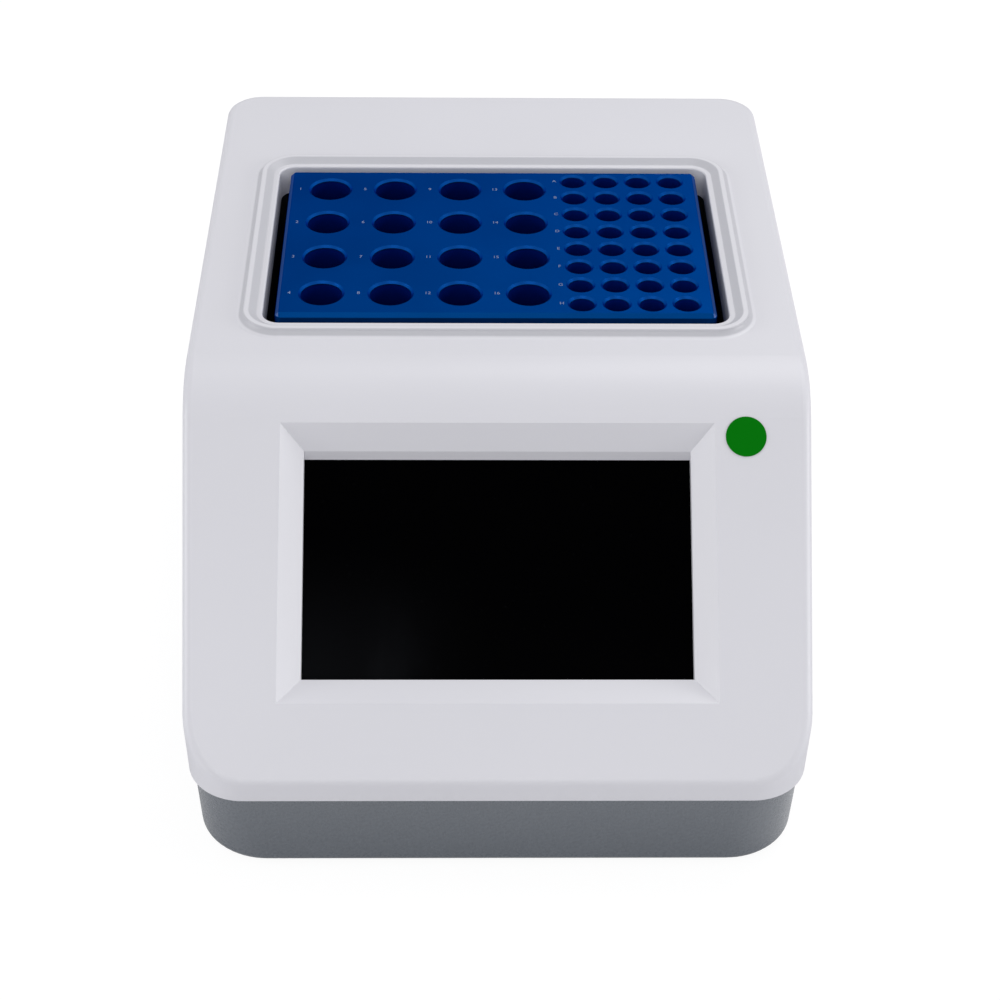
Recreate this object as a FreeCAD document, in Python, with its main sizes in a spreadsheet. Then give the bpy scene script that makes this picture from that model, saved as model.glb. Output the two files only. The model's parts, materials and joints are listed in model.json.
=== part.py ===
import FreeCAD, Part
import math
import os
import re
import Sketcher
from FreeCAD import Placement, Rotation, Vector

# Bench dry bath: a white moulded cover with a sloped touch panel stands on a grey tray.
# An anodised block with tube wells lifts out of the bay in its top.
# Frame: feet on z = 0, the panel faces -Y, the mains inlet faces +Y, millimetres.

SIZES = {
    # case
    "overall_depth": 224.0,
    "body_width": 155.0,
    "side_slope": 1.95,
    "foot_height": 1.5,
    "tray_height": 21.9,
    "tray_wall": 3.0,
    "tray_inset": 0.5,
    "tray_taper": 0.95,
    "tray_corner": 17.5,
    "tray_edge": 1.5,
    "skirt_height": 6.0,
    "cover_height": 72.2,
    "cover_wall": 2.5,
    "panel_slope": 42.0,
    "bend_radius": 26.0,
    "front_corner": 14.0,
    "rear_corner": 10.0,
    "edge_round": 2.3,
    "lip_height": 2.5,
    "lip_wall": 1.6,
    "lip_gap": 0.3,
    # bay and its raised rim
    "bay_share": 0.43037,
    "bay_gap_side": 3.1,
    "bay_gap_end": 3.0,
    "bay_corner": 4.5,
    "rim_height": 1.8,
    "rim_drop": 1.3,
    "rim_lip": 1.5,
    "rim_slope": 2.0,
    "rim_crest": 1.6,
    "rim_foot": 2.6,
    "rim_soft": 0.48,
    "rim_sag_share": 0.24,
    "collar_depth": 8.0,
    "collar_wall": 2.0,
    "liner_wall": 1.2,
    "liner_gap": 0.7,
    "liner_seat_gap": 0.3,
    # heating block
    "block_width": 113.0,
    "block_depth": 74.0,
    "block_height": 38.5,
    "block_rise": 0.9,
    "block_edge": 1.0,
    "block_corner": 1.5,
    "well_chamfer": 0.6,
    "tube_pitch": 17.85,
    "tube_bore": 10.8,
    "tube_straight": 20.0,
    "tube_tip": 4.2,
    "tube_depth": 34.0,
    "tube_share": 0.39836,
    "strip_pitch": 9.0,
    "strip_bore": 6.4,
    "strip_tip": 2.4,
    "strip_depth": 15.0,
    "strip_share": 0.27541,
    # heater stack under the block
    "plate_thickness": 8.0,
    "mat_thickness": 1.5,
    "pad_thickness": 5.0,
    "stack_inset": 1.5,
    "carrier_thickness": 1.5,
    "carrier_corner": 3.0,
    "carrier_ledge": 6.0,
    "carrier_edge": 4.7,
    "carrier_sink": 1.3,
    "carrier_bite": 5.0,
    "spacer_radius": 3.5,
    "spacer_gap": 0.6,
    "spacer_margin_side": 12.5,
    "spacer_margin_end": 9.0,
    "pin_radius": 2.0,
    "pin_margin": 3.5,
    "pin_rise": 6.0,
    "pin_clearance": 0.2,
    "cutout_radius": 8.0,
    "cutout_height": 8.2,
    "cutout_cap_radius": 6.4,
    "cutout_cap_height": 2.0,
    "cutout_clearance": 3.0,
    "sensor_radius": 1.5,
    "sensor_length": 26.0,
    "sensor_offset": 20.0,
    "sensor_rise": 1.5,
    "post_radius": 3.5,
    "post_side_gap": 9.74,
    "post_setback": 1.0,
    "post_thread_depth": 8.0,
    "post_boss_height": 6.0,
    "post_boss_wall": 1.2,
    # fasteners
    "screw_radius": 1.5,
    "head_radius": 2.8,
    "head_height": 1.9,
    "head_gap": 0.5,
    "fit_gap": 0.1,
    "hex_key": 1.3,
    "hex_share": 0.4,
    "over_cut": 1.0,
    "join_overlap": 1.0,
    "form_margin": 10.0,
    "case_screw_length": 22.0,
    "case_screw_side": 12.04,
    "case_screw_front": 18.0,
    "case_screw_rear": 13.0,
    "case_boss_radius": 4.2,
    "case_boss_height": 24.0,
    "tray_boss_wall": 0.6,
    "insert_radius": 2.4,
    "insert_height": 6.0,
    "head_recess": 6.0,
    # feet
    "foot_radius": 7.0,
    "foot_taper": 1.0,
    "foot_gap": 0.2,
    "foot_side": 21.04,
    "foot_end": 30.0,
    "foot_recess": 2.0,
    "foot_bore_depth": 2.2,
    "foot_boss_radius": 4.2,
    "foot_screw_length": 7.0,
    # display on the sloped panel, measured down the slope from the bend
    "bezel_start": 11.4,
    "bezel_width": 106.3,
    "bezel_length": 68.7,
    "bezel_run_side": 5.55,
    "bezel_run_end": 6.2,
    "bezel_depth": 4.7,
    "well_drop": 2.5,
    "well_run": 1.6,
    "glass_trim_side": 0.8,
    "glass_trim_end": 1.5,
    "glass_margin": 1.0,
    "glass_thickness": 1.4,
    "gasket_thickness": 0.4,
    "gasket_band": 2.4,
    "lcd_thickness": 2.9,
    "board_thickness": 1.6,
    "display_ears": 18.5,
    "display_board_length": 67.0,
    "display_screw_inset": 3.5,
    "display_screw_end": 3.5,
    "display_boss_radius": 2.8,
    "display_thread": 6.0,
    "display_bite": 5.0,
    "display_head_radius": 2.2,
    "display_head_height": 1.5,
    "thread_radius": 1.2,
    "driver_size": 16.0,
    "driver_height": 1.4,
    "driver_offset": 18.0,
    "memory_width": 9.0,
    "memory_length": 12.0,
    "memory_height": 1.2,
    "memory_offset": 8.0,
    "plug_width": 24.0,
    "plug_length": 6.0,
    "plug_height": 5.0,
    "plug_offset": 30.0,
    "plug_drop": 22.0,
    "sticker_radius": 5.0,
    "sticker_thickness": 0.2,
    "sticker_gap": 7.65,
    "sticker_drop": 14.75,
    # control board and the parts on it
    "control_width": 92.0,
    "control_depth": 50.0,
    "control_front": 31.0,
    "control_lift": 8.0,
    "control_inset": 4.0,
    "board_post_radius": 2.5,
    "relay_width": 19.0,
    "relay_depth": 15.5,
    "relay_height": 15.0,
    "relay_offset": 24.0,
    "relay_back": 8.0,
    "terminal_pitch": 5.0,
    "terminal_depth": 8.0,
    "terminal_height": 10.0,
    "terminal_offset": 16.0,
    "terminal_back": 20.0,
    "throat_width": 3.6,
    "throat_height": 4.0,
    "throat_depth": 5.0,
    "throat_rise": 1.5,
    "buzzer_radius": 6.0,
    "buzzer_height": 8.5,
    "buzzer_crown": 0.5,
    "buzzer_offset": 30.0,
    "buzzer_back": 10.0,
    "chip_size": 14.0,
    "chip_height": 1.6,
    "chip_offset": 8.0,
    "chip_front": 4.0,
    "capacitor_radius": 4.0,
    "capacitor_height": 11.0,
    "capacitor_offset": 22.0,
    "capacitor_spread": 5.0,
    "capacitor_back": 3.0,
    "capacitor_span": 13.0,
    # power supply
    "supply_width": 100.0,
    "supply_depth": 68.0,
    "supply_height": 30.0,
    "supply_sheet": 1.2,
    "supply_lift": 4.0,
    "supply_ear": 4.5,
    "supply_side_gap": 0.5,
    "supply_end_gap": 2.0,
    "supply_leg_radius": 2.5,
    "supply_leg_inset": 7.0,
    "supply_floor_gap": 0.4,
    "core_width": 28.0,
    "core_depth": 24.0,
    "core_height": 8.0,
    "core_lift": 6.0,
    "coil_width": 22.0,
    "coil_depth": 30.0,
    "coil_height": 20.0,
    "coil_share": 0.06,
    "reservoir_radius": 8.0,
    "reservoir_height": 20.0,
    "reservoir_share": 0.21,
    "reservoir_pitch": 22.0,
    "reservoir_front": 3.0,
    "sink_side_gap": 10.5,
    "sink_sheet": 2.0,
    "sink_length": 40.0,
    "sink_height": 19.0,
    "fin_width": 9.0,
    "fin_sheet": 1.5,
    "fin_pitch": 7.4,
    # mains inlet module on the back wall
    "inlet_side_gap": 21.0,
    "inlet_level": 59.0,
    "inlet_width": 27.0,
    "inlet_tall": 47.0,
    "inlet_body": 24.0,
    "inlet_flange": 2.0,
    "inlet_margin": 2.2,
    "inlet_gap": 0.3,
    "socket_width": 24.4,
    "socket_tall": 16.4,
    "socket_depth": 17.0,
    "socket_drop": 13.0,
    "socket_bevel": 4.0,
    "blade_spacing": 14.0,
    "blade_width": 2.0,
    "blade_tall": 4.0,
    "blade_length": 15.0,
    "blade_stagger": 4.0,
    "blade_tail": 13.0,
    "drawer_width": 20.0,
    "drawer_tall": 7.0,
    "drawer_depth": 24.0,
    "drawer_rise": 0.6,
    "drawer_gap": 0.3,
    "grip_depth": 1.2,
    "grip_height": 2.0,
    "fuse_radius": 2.5,
    "fuse_length": 20.0,
    "fuse_setback": 3.0,
    "fuse_gap": 0.2,
    "rocker_radius": 9.4,
    "rocker_tall": 13.0,
    "rocker_rise": 13.2,
    "rocker_pivot": 6.0,
    "rocker_front": 4.6,
    "rocker_back": 3.0,
    "rocker_tilt": 7.0,
    "rocker_gap": 0.3,
    "rocker_hollow": 13.0,
    "rocker_dish": 40.0,
    "rocker_dip": 1.0,
    "rocker_pin_radius": 1.0,
    "rocker_pin_gap": 0.05,
    "rocker_pin_bite": 2.0,
    # cooling fan and vents
    "fan_side_gap": 0.8,
    "fan_level": 60.0,
    "fan_size": 60.0,
    "fan_thickness": 15.0,
    "fan_duct_radius": 28.5,
    "fan_hub_radius": 13.0,
    "fan_hub_depth": 10.0,
    "fan_hub_wall": 1.2,
    "fan_blade_gap": 0.8,
    "fan_blade_chord": 11.0,
    "fan_blade_thickness": 1.1,
    "fan_root_pitch": 42.0,
    "fan_tip_pitch": 28.0,
    "fan_rotor_gap": 1.0,
    "fan_screw_reach": 25.0,
    "fan_head_height": 1.6,
    "fan_motor_radius": 12.0,
    "fan_motor_depth": 3.0,
    "fan_strut_width": 3.0,
    "fan_strut_depth": 2.0,
    "fan_sleeve_wall": 2.0,
    "fan_sleeve_rise": 5.0,
    "fan_shaft_radius": 1.5,
    "fan_shaft_gap": 0.05,
    "vent_slot": 2.6,
    "vent_rib": 2.2,
    "floor_slot": 3.0,
    "floor_slot_length": 16.0,
    "floor_slot_gap": 2.0,
}

# Places and sizes that follow from the driving dimensions above, in the sheet's own formulas.
PLACES = {
    "front_y": "-overall_depth / 2",
    "rear_y": "overall_depth / 2 - inlet_flange",
    "inner_rear_y": "rear_y - cover_wall",
    "floor_z": "foot_height + tray_wall",
    "parting_z": "foot_height + tray_height",
    "top_z": "parting_z + cover_height",
    "bend_y": "front_y + (cover_height - skirt_height) / tan(panel_slope)",
    "bay_y": "bend_y + bay_share * (rear_y - bend_y)",
    "bay_width": "block_width + 2 * bay_gap_side",
    "bay_depth": "block_depth + 2 * bay_gap_end",
    "rim_top_z": "top_z + rim_height",
    "ledge_z": "rim_top_z - rim_drop",
    "collar_low_z": "ledge_z - collar_depth",
    "block_top_z": "top_z + block_rise",
    "block_low_z": "block_top_z - block_height",
    "plate_low_z": "block_low_z - plate_thickness",
    "mat_low_z": "plate_low_z - mat_thickness",
    "pad_low_z": "mat_low_z - pad_thickness",
    "carrier_low_z": "pad_low_z - carrier_thickness",
    "parting_half": "body_width / 2 - cover_height * tan(side_slope)",
    "wells_slack": "block_width - 3 * tube_pitch - tube_bore - 3 * strip_pitch - strip_bore",
    "tube_grid_x": "-block_width / 2 + tube_share * wells_slack + (3 * tube_pitch + tube_bore) / 2",
    "strip_grid_x": "block_width / 2 - strip_share * wells_slack - (3 * strip_pitch + strip_bore) / 2",
    "spacer_reach_x": "block_width / 2 - spacer_margin_side",
    "spacer_reach_y": "block_depth / 2 - spacer_margin_end",
    "pin_reach": "block_width / 2 - pin_margin",
    "post_reach_x": "parting_half - post_side_gap",
    "post_reach_y": "block_depth / 2 - post_setback",
    "carrier_width": "2 * (post_reach_x + carrier_edge)",
    "carrier_depth": "block_depth + 2 * carrier_ledge",
    "case_screw_reach_x": "parting_half - case_screw_side",
    "case_rib_width": "parting_half - case_screw_reach_x - cover_wall / 2",
    "foot_reach_x": "parting_half - foot_side",
    "foot_reach_y": "overall_depth / 2 - foot_end",
    "glass_width": "bezel_width - glass_trim_side",
    "glass_length": "bezel_length - glass_trim_end",
    "glass_n": "bezel_depth + well_drop + gasket_thickness",
    "lcd_n": "glass_n + glass_thickness",
    "display_board_n": "lcd_n + lcd_thickness",
    "display_back_n": "display_board_n + board_thickness",
    "display_centre": "bezel_start + bezel_length / 2",
    "display_board_width": "glass_width + display_ears",
    "display_screw_reach": "display_board_width / 2 - display_screw_inset",
    "display_screw_span": "display_board_length / 2 - display_screw_end",
    "sticker_offset": "bezel_width / 2 + sticker_gap",
    "control_y": "front_y + control_front + control_depth / 2",
    "control_z": "floor_z + control_lift",
    "control_top_z": "control_z + board_thickness",
    "case_bore_depth": "case_screw_length + foot_height + head_recess - parting_z + 2 * over_cut",
    "supply_y": "bay_y",
    "supply_z": "floor_z",
    "supply_board_z": "supply_z + supply_sheet + supply_lift",
    "supply_top_z": "supply_board_z + board_thickness",
    "inlet_offset": "case_screw_reach_x - inlet_side_gap",
    "fan_offset": "case_screw_reach_x - case_boss_radius - fan_size / 2 - fan_side_gap",
    "fan_front_y": "inner_rear_y - fan_thickness",
}

BACK = -90  # turn about X that lays an upright piece towards +Y
FRONT = 90  # turn about X that lays an upright piece towards -Y
TUBE_COLUMNS, TUBE_ROWS = 4, 4
STRIP_COLUMNS, STRIP_ROWS = 4, 8
TERMINAL_WAYS = 6
SINK_FINS = 6
FLOOR_SLOTS = 11
FAN_BLADES = 7
ARC_MIDDLE = 1 - math.cos(math.radians(45))  # share of the radius

document = FreeCAD.newDocument("dry_bath_incubator")
sizes = document.addObject("Spreadsheet::Sheet", "Sizes")
places = document.addObject("Spreadsheet::Sheet", "Places")
alias_pattern = re.compile(r"[a-z]+(?:_[a-z]+)+")
nodes = []


# Sheets and expressions

def bound(text):
    """Text of an expression, with the sheet's name before each alias."""
    def with_sheet(match):
        return ("Sizes." if match.group(0) in SIZES else "Places.") + match.group(0)
    return alias_pattern.sub(with_sheet, str(text))


def fill_sheets():
    for row, (alias, size) in enumerate(SIZES.items(), start=1):
        sizes.set("A%d" % row, str(size))
        sizes.setAlias("A%d" % row, alias)
    document.recompute()
    for row, (alias, formula) in enumerate(PLACES.items(), start=1):
        places.set("A%d" % row, "=" + bound(formula).replace("Places.", ""))
        places.setAlias("A%d" % row, alias)
    document.recompute()


def number(text):
    """Present value of an expression in millimetres or degrees."""
    return float(sizes.evalExpression(bound(text)))


def bind(item, **expressions):
    for prop, text in expressions.items():
        item.setExpression(prop, bound(text))


def put(item, x, y, z):
    """Tie an object's place to the sheet."""
    for letter, text in zip("xyz", (x, y, z)):
        item.setExpression("Placement.Base." + letter, bound(text))
    return item


def turn(item, angle, axis=Vector(1, 0, 0)):
    """Turn an object about its own origin; the angle follows the sheet."""
    item.Placement.Rotation = Rotation(axis, 1)
    item.setExpression("Placement.Rotation.Angle", bound(angle))
    return item


def keep(item, node):
    """Name a finished sub-part; its label is its node and file name."""
    item.Label = node
    nodes.append(item)
    return item


# Primitives and booleans

def box(name, width, depth, height, x, y, z):
    """Box centred on x and y that stands on z."""
    item = document.addObject("Part::Box", name)
    bind(item, Length=width, Width=depth, Height=height)
    return put(item, "(%s) - (%s) / 2" % (x, width), "(%s) - (%s) / 2" % (y, depth), z)


def rod(name, radius, height, x, y, z, lay=0):
    """Cylinder from a point upwards, or towards BACK or FRONT."""
    item = document.addObject("Part::Cylinder", name)
    bind(item, Radius=radius, Height=height)
    item.Placement.Rotation = Rotation(Vector(1, 0, 0), lay)
    return put(item, x, y, z)


def join(name, *items):
    item = document.addObject("Part::MultiFuse", name)
    item.Shapes = list(items)
    return item


def cut(name, base, *tools):
    item = document.addObject("Part::Cut", name)
    item.Base = base
    item.Tool = tools[0] if len(tools) == 1 else join(name + "_tools", *tools)
    return item


def common(name, base, tool):
    item = document.addObject("Part::Common", name)
    item.Base = base
    item.Tool = tool
    return item


def group(name, *items):
    """Separate solids that share one node."""
    item = document.addObject("Part::Compound", name)
    item.Links = list(items)
    return item


def copies(name, master, points, angle=0):
    """One copy of a master at each point, as separate solids."""
    links = []
    for i, point in enumerate(points):
        link = document.addObject("App::Link", "%s_%d" % (name, i + 1))
        link.LinkedObject = master
        link.Placement.Rotation = Rotation(Vector(1, 0, 0), angle)
        links.append(put(link, *point))
    return group(name, *links)


def corners(reach_x, reach_y, x, y, z):
    """Four points of a rectangle, as expressions."""
    return [("(%s) + %d * (%s)" % (x, i, reach_x), "(%s) + %d * (%s)" % (y, j, reach_y), z)
            for i in (-1, 1) for j in (-1, 1)]


def ring(name, outer, inner, height, x, y, z, lay=0):
    return cut(name, rod(name + "_outside", outer, height, x, y, z, lay),
               rod(name + "_bore", inner, height, x, y, z, lay))


def screw_master(name, length, head_radius="head_radius", head_height="head_height",
                 shank="screw_radius"):
    """Socket-head screw with its head's seat at z = 0 and its shank downwards."""
    head = rod(name + "_head", head_radius, head_height, "0", "0", "0")
    socket = document.addObject("Part::Prism", name + "_socket")
    bind(socket, Circumradius="hex_key", Height=head_height)
    put(socket, "0", "0", "(%s) * hex_share" % head_height)
    shank_rod = rod(name + "_shank", shank, "(%s) + fit_gap" % length, "0", "0", "-(%s)" % length)
    return cut(name, join(name + "_solid", head, shank_rod), socket)


def countersink(name, gap, x, y, z):
    """Cone that narrows downwards from a flush head at the height z to the shank."""
    cone = document.addObject("Part::Cone", name)
    bind(cone, Radius1="screw_radius + (%s)" % gap, Radius2="head_radius + (%s)" % gap, Height="carrier_sink")
    return put(cone, x, y, "(%s) - carrier_sink" % z)


def flush_screw_master(name, length):
    """Countersunk screw whose head ends flush at z = 0."""
    head = countersink(name + "_head", "0", "0", "0", "0")
    socket = document.addObject("Part::Prism", name + "_socket")
    bind(socket, Circumradius="hex_key", Height="carrier_sink")
    put(socket, "0", "0", "-carrier_sink * (1 - hex_share)")
    shank_rod = rod(name + "_shank", "screw_radius", "(%s) - carrier_sink + fit_gap" % length, "0", "0",
                    "-(%s)" % length)
    return cut(name, join(name + "_solid", head, shank_rod), socket)


# Sketches and bodies

def origin_plane(body, role):
    return next(f for f in body.Origin.OriginFeatures if f.Role == role)


def sketch_on(body, role, name, x="0", y="0", lift="0"):
    sketch = body.newObject("Sketcher::SketchObject", name)
    sketch.AttachmentSupport = [(origin_plane(body, role), "")]
    sketch.MapMode = "FlatFace"
    for letter, text in zip("xyz", (x, y, lift)):
        sketch.setExpression("AttachmentOffset.Base." + letter, bound(text))
    return sketch


def hold(sketch, kind, geometry, point, text):
    """Distance from the sketch's origin to a point, bound to the sheet."""
    index = sketch.addConstraint(Sketcher.Constraint(kind, -1, 1, geometry, point, number(text)))
    sketch.setExpression("Constraints[%d]" % index, bound(text))


def outline(sketch, points):
    """Closed polygon whose corners are all bound to the sheet."""
    count = len(points)
    spots = [Vector(number(x), number(y), 0) for x, y in points]
    for i in range(count):
        sketch.addGeometry(Part.LineSegment(spots[i], spots[(i + 1) % count]), False)
    for i in range(count):
        sketch.addConstraint(Sketcher.Constraint("Coincident", i, 2, (i + 1) % count, 1))
    for i, (x, y) in enumerate(points):
        hold(sketch, "DistanceX", i, 1, x)
        hold(sketch, "DistanceY", i, 1, y)


def edges_where(shape, test):
    return ["Edge%d" % (i + 1) for i, edge in enumerate(shape.Edges) if test(edge)]


def spans(edge, low, high):
    """Whether an edge runs between two heights."""
    heights = sorted(v.Point.z for v in edge.Vertexes)
    return abs(heights[0] - low) < 1e-3 and abs(heights[-1] - high) < 1e-3


def on_plane(edge, letter, place):
    return all(abs(getattr(v.Point, letter) - place) < 1e-3 for v in edge.Vertexes)


def dressed(body, kind, name, base, names, **expressions):
    """Fillet or chamfer on chosen edges of a body's last feature."""
    feature = body.newObject("PartDesign::" + kind, name)
    feature.Base = (base, names)
    bind(feature, **expressions)
    document.recompute()
    return feature


def pad_of(body, sketch, name, length):
    pad = body.newObject("PartDesign::Pad", name)
    pad.Profile = sketch
    bind(pad, Length=length)
    document.recompute()
    return pad


def rounded_plate(name, width, depth, height, radius, x, y, z):
    """Plate with round upright corners, centred on x and y, standing on z."""
    body = document.addObject("PartDesign::Body", name)
    sketch = sketch_on(body, "XY_Plane", name + "_plan")
    half_x, half_y = "(%s) / 2" % width, "(%s) / 2" % depth
    outline(sketch, [("-" + half_x, "-" + half_y), (half_x, "-" + half_y),
                     (half_x, half_y), ("-" + half_x, half_y)])
    pad = pad_of(body, sketch, name + "_blank", height)
    uprights = edges_where(pad.Shape, lambda e: spans(e, 0, number(height)))
    dressed(body, "Fillet", name + "_corners", pad, uprights, Radius=radius)
    return put(body, x, y, z)


# Cover: one moulding with a bend, a sloped panel, a raised rim and a bevelled display recess

def moulded_form(name, inset, rounded_edges):
    """Solid of the cover's outside, or of its hollow when inset by the wall."""
    body = document.addObject("PartDesign::Body", name)
    low = "parting_z" if rounded_edges else "parting_z - form_margin"
    high = "top_z + form_margin"
    half = "body_width / 2 - (%s) + ((%s) - top_z) * tan(side_slope)"
    half_low, half_high = half % (inset, low), half % (inset, high)
    front, rear = "front_y + (%s)" % inset, "rear_y - (%s)" % inset
    view = sketch_on(body, "XZ_Plane", name + "_front_view", lift="-(%s)" % rear)
    outline(view, [("-(%s)" % half_low, low), (half_low, low),
                   (half_high, high), ("-(%s)" % half_high, high)])
    feature = pad_of(body, view, name + "_blank", "(%s) - (%s)" % (rear, front))
    for end, radius in ((front, "front_corner"), (rear, "rear_corner")):
        place = number(end)
        names = edges_where(feature.Shape, lambda e: on_plane(e, "y", place)
                            and spans(e, number(low), number(high)))
        feature = dressed(body, "Fillet", name + "_" + radius, feature, names,
                          Radius="%s - (%s)" % (radius, inset))
    bend = "bend_y + (%s) * tan(panel_slope / 2)" % inset
    top = "top_z - (%s)" % inset
    before, behind, above = "front_y - form_margin", "rear_y + form_margin", "top_z + 2 * form_margin"
    foot = "(%s) - ((%s) - (%s)) * tan(panel_slope)" % (top, bend, before)
    profile = sketch_on(body, "YZ_Plane", name + "_side_view")
    outline(profile, [(before, foot), (bend, top), (behind, top), (behind, above), (before, above)])
    pocket = body.newObject("PartDesign::Pocket", name + "_profile")
    pocket.Profile = profile
    pocket.Type = "ThroughAll"
    pocket.Midplane = True
    document.recompute()
    bend_y, bend_z = number(bend), number(top)
    names = edges_where(pocket.Shape, lambda e: on_plane(e, "y", bend_y) and on_plane(e, "z", bend_z))
    feature = dressed(body, "Fillet", name + "_bend", pocket, names, Radius="bend_radius - (%s)" % inset)
    if rounded_edges:
        shape = feature.Shape
        names = edges_where(shape, lambda e: borders_upper_side(shape, e))
        dressed(body, "Fillet", name + "_edges", feature, names, Radius="edge_round")
    return body


def faces_up(face):
    low_u, high_u, low_v, high_v = face.ParameterRange
    return face.normalAt((low_u + high_u) / 2, (low_v + high_v) / 2).z > 0.3


def borders_upper_side(shape, edge):
    """Whether an edge parts the top, bend or panel from a side wall."""
    sides = [faces_up(face) for face in shape.ancestorsOfType(edge, Part.Face)]
    return len(sides) == 2 and sides[0] != sides[1]


def rim_profile():
    """Section of the raised double-step rim; x is the distance out from the bay's wall."""
    ledge, crest, surface = number("ledge_z"), number("rim_top_z"), number("top_z")
    lip, slope = number("rim_lip"), number("rim_slope")
    inner, outer = lip + slope, lip + slope + number("rim_crest")
    foot = outer + number("rim_foot")
    bottom, wall = number("collar_low_z"), number("collar_wall")
    soft, sag = number("rim_soft"), number("rim_sag_share")
    sink = surface - number("cover_wall") / 2
    steps = [
        Part.makeLine(Vector(0, 0, bottom), Vector(0, 0, ledge - soft)),
        arc((0, ledge - soft), (ARC_MIDDLE * soft, ledge - ARC_MIDDLE * soft), (soft, ledge)),
        Part.makeLine(Vector(soft, 0, ledge), Vector(lip, 0, ledge)),
        Part.makeLine(Vector(lip, 0, ledge), Vector(inner, 0, crest)),
        Part.makeLine(Vector(inner, 0, crest), Vector(outer - soft, 0, crest)),
        arc((outer - soft, crest), (outer - ARC_MIDDLE * soft, crest - ARC_MIDDLE * soft),
            (outer, crest - soft)),
        arc((outer, crest - soft), (outer + ARC_MIDDLE * (foot - outer), surface + sag * (crest - surface)),
            (foot, surface)),
        Part.makeLine(Vector(foot, 0, surface), Vector(foot, 0, sink)),
        Part.makeLine(Vector(foot, 0, sink), Vector(wall, 0, sink)),
        Part.makeLine(Vector(wall, 0, sink), Vector(wall, 0, bottom)),
        Part.makeLine(Vector(wall, 0, bottom), Vector(0, 0, bottom)),
    ]
    return Part.Wire(steps)


def arc(start, middle, end):
    return Part.Arc(Vector(start[0], 0, start[1]), Vector(middle[0], 0, middle[1]),
                    Vector(end[0], 0, end[1])).toShape()


def rim_ring():
    """Rim and collar: its section runs straight along each side and turns about each corner."""
    face = Part.Face(rim_profile())
    radius = number("bay_corner")
    half_x = number("bay_width") / 2 - radius
    half_y = number("bay_depth") / 2 - radius
    section = face.translated(Vector(radius, 0, 0))
    pieces = []
    for i, (x, y, length) in enumerate(((half_x, -half_y, 2 * half_y), (half_x, half_y, 2 * half_x),
                                        (-half_x, half_y, 2 * half_y), (-half_x, -half_y, 2 * half_x))):
        side = section.extrude(Vector(0, length, 0))
        bend = section.revolve(Vector(0, 0, 0), Vector(0, 0, 1), 90)
        bend.translate(Vector(0, length, 0))
        for piece in (side, bend):
            piece.rotate(Vector(0, 0, 0), Vector(0, 0, 1), 90 * i)
            piece.translate(Vector(x, y, 0))
            pieces.append(piece)
    whole = pieces[0].fuse(pieces[1:]).removeSplitter()
    item = document.addObject("Part::Feature", "bay_rim")
    item.Shape = whole
    return put(item, "0", "bay_y", "0")


def panel_point(x, out, down):
    """Point of the sloped panel's frame: across, out from its face and down from the bend."""
    return (x, "bend_y - (%s) * cos(panel_slope) - (%s) * sin(panel_slope)" % (down, out),
            "top_z - (%s) * sin(panel_slope) + (%s) * cos(panel_slope)" % (down, out))


def panel_frustum(name, low_out, low_half, low_from, low_to, high_out, high_half, high_from, high_to):
    """Frustum in the panel's frame between two depths; spans run down the slope."""
    item = document.addObject("Part::Wedge", name)
    bind(item, Ymin="0", Ymax="(%s) - (%s)" % (high_out, low_out),
         Xmin="-(%s)" % low_half, Xmax=low_half, Zmin=low_from, Zmax=low_to,
         X2min="-(%s)" % high_half, X2max=high_half, Z2min=high_from, Z2max=high_to)
    turn(item, "90 + panel_slope")
    return put(item, *panel_point("0", low_out, "0"))


def panel_box(name, width, thickness, length, x, behind, centre="display_centre"):
    """Flat piece behind the panel: its front face lies at the depth behind."""
    item = document.addObject("Part::Box", name)
    bind(item, Length=width, Width=thickness, Height=length)
    turn(item, "90 + panel_slope")
    return put(item, *panel_point("(%s) - (%s) / 2" % (x, width), "-(%s) - (%s)" % (behind, thickness),
                                  "(%s) - (%s) / 2" % (centre, length)))


def panel_rod(name, radius, height, x, behind, down):
    """Cylinder that runs inwards, square to the panel, from the depth behind."""
    item = document.addObject("Part::Cylinder", name)
    bind(item, Radius=radius, Height=height)
    turn(item, "180 + panel_slope")
    return put(item, *panel_point(x, "-(%s)" % behind, down))


def display_points():
    return [("%d * display_screw_reach" % i, "display_centre + %d * display_screw_span" % j)
            for i in (-1, 1) for j in (-1, 1)]


def bezel_cutters():
    """Bevelled recess, the stepped well under it and the window through its floor."""
    over = "over_cut"
    side, end = "bezel_run_side / bezel_depth", "bezel_run_end / bezel_depth"
    window_half = "bezel_width / 2 - bezel_run_side"
    window_from = "bezel_start + bezel_run_end"
    window_to = "bezel_start + bezel_length - bezel_run_end"
    floor = "-(bezel_depth + well_drop)"
    bevel = panel_frustum("bezel_bevel", "-bezel_depth", window_half, window_from, window_to,
                          over, "bezel_width / 2 + %s * %s" % (over, side),
                          "bezel_start - %s * %s" % (over, end),
                          "bezel_start + bezel_length + %s * %s" % (over, end))
    well = panel_frustum("bezel_well", floor, window_half, window_from + " + well_run", window_to,
                         "-bezel_depth", window_half, window_from, window_to)
    window = panel_frustum("bezel_window", floor + " - over_cut", window_half, window_from + " + well_run",
                           window_to, floor, window_half, window_from + " + well_run", window_to)
    return bevel, well, window


def bezel_backing():
    """Wall that carries the recess inside the cover and ends in the display's seat."""
    wide = "bezel_width / 2 + cover_wall"
    seat = "glass_width / 2 + glass_margin"
    return panel_frustum("bezel_backing", "-(bezel_depth + well_drop)", seat,
                         "display_centre - glass_length / 2 - glass_margin",
                         "display_centre + glass_length / 2 + glass_margin",
                         "-cover_wall / 2", wide, "bezel_start - cover_wall",
                         "bezel_start + bezel_length + cover_wall")


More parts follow.
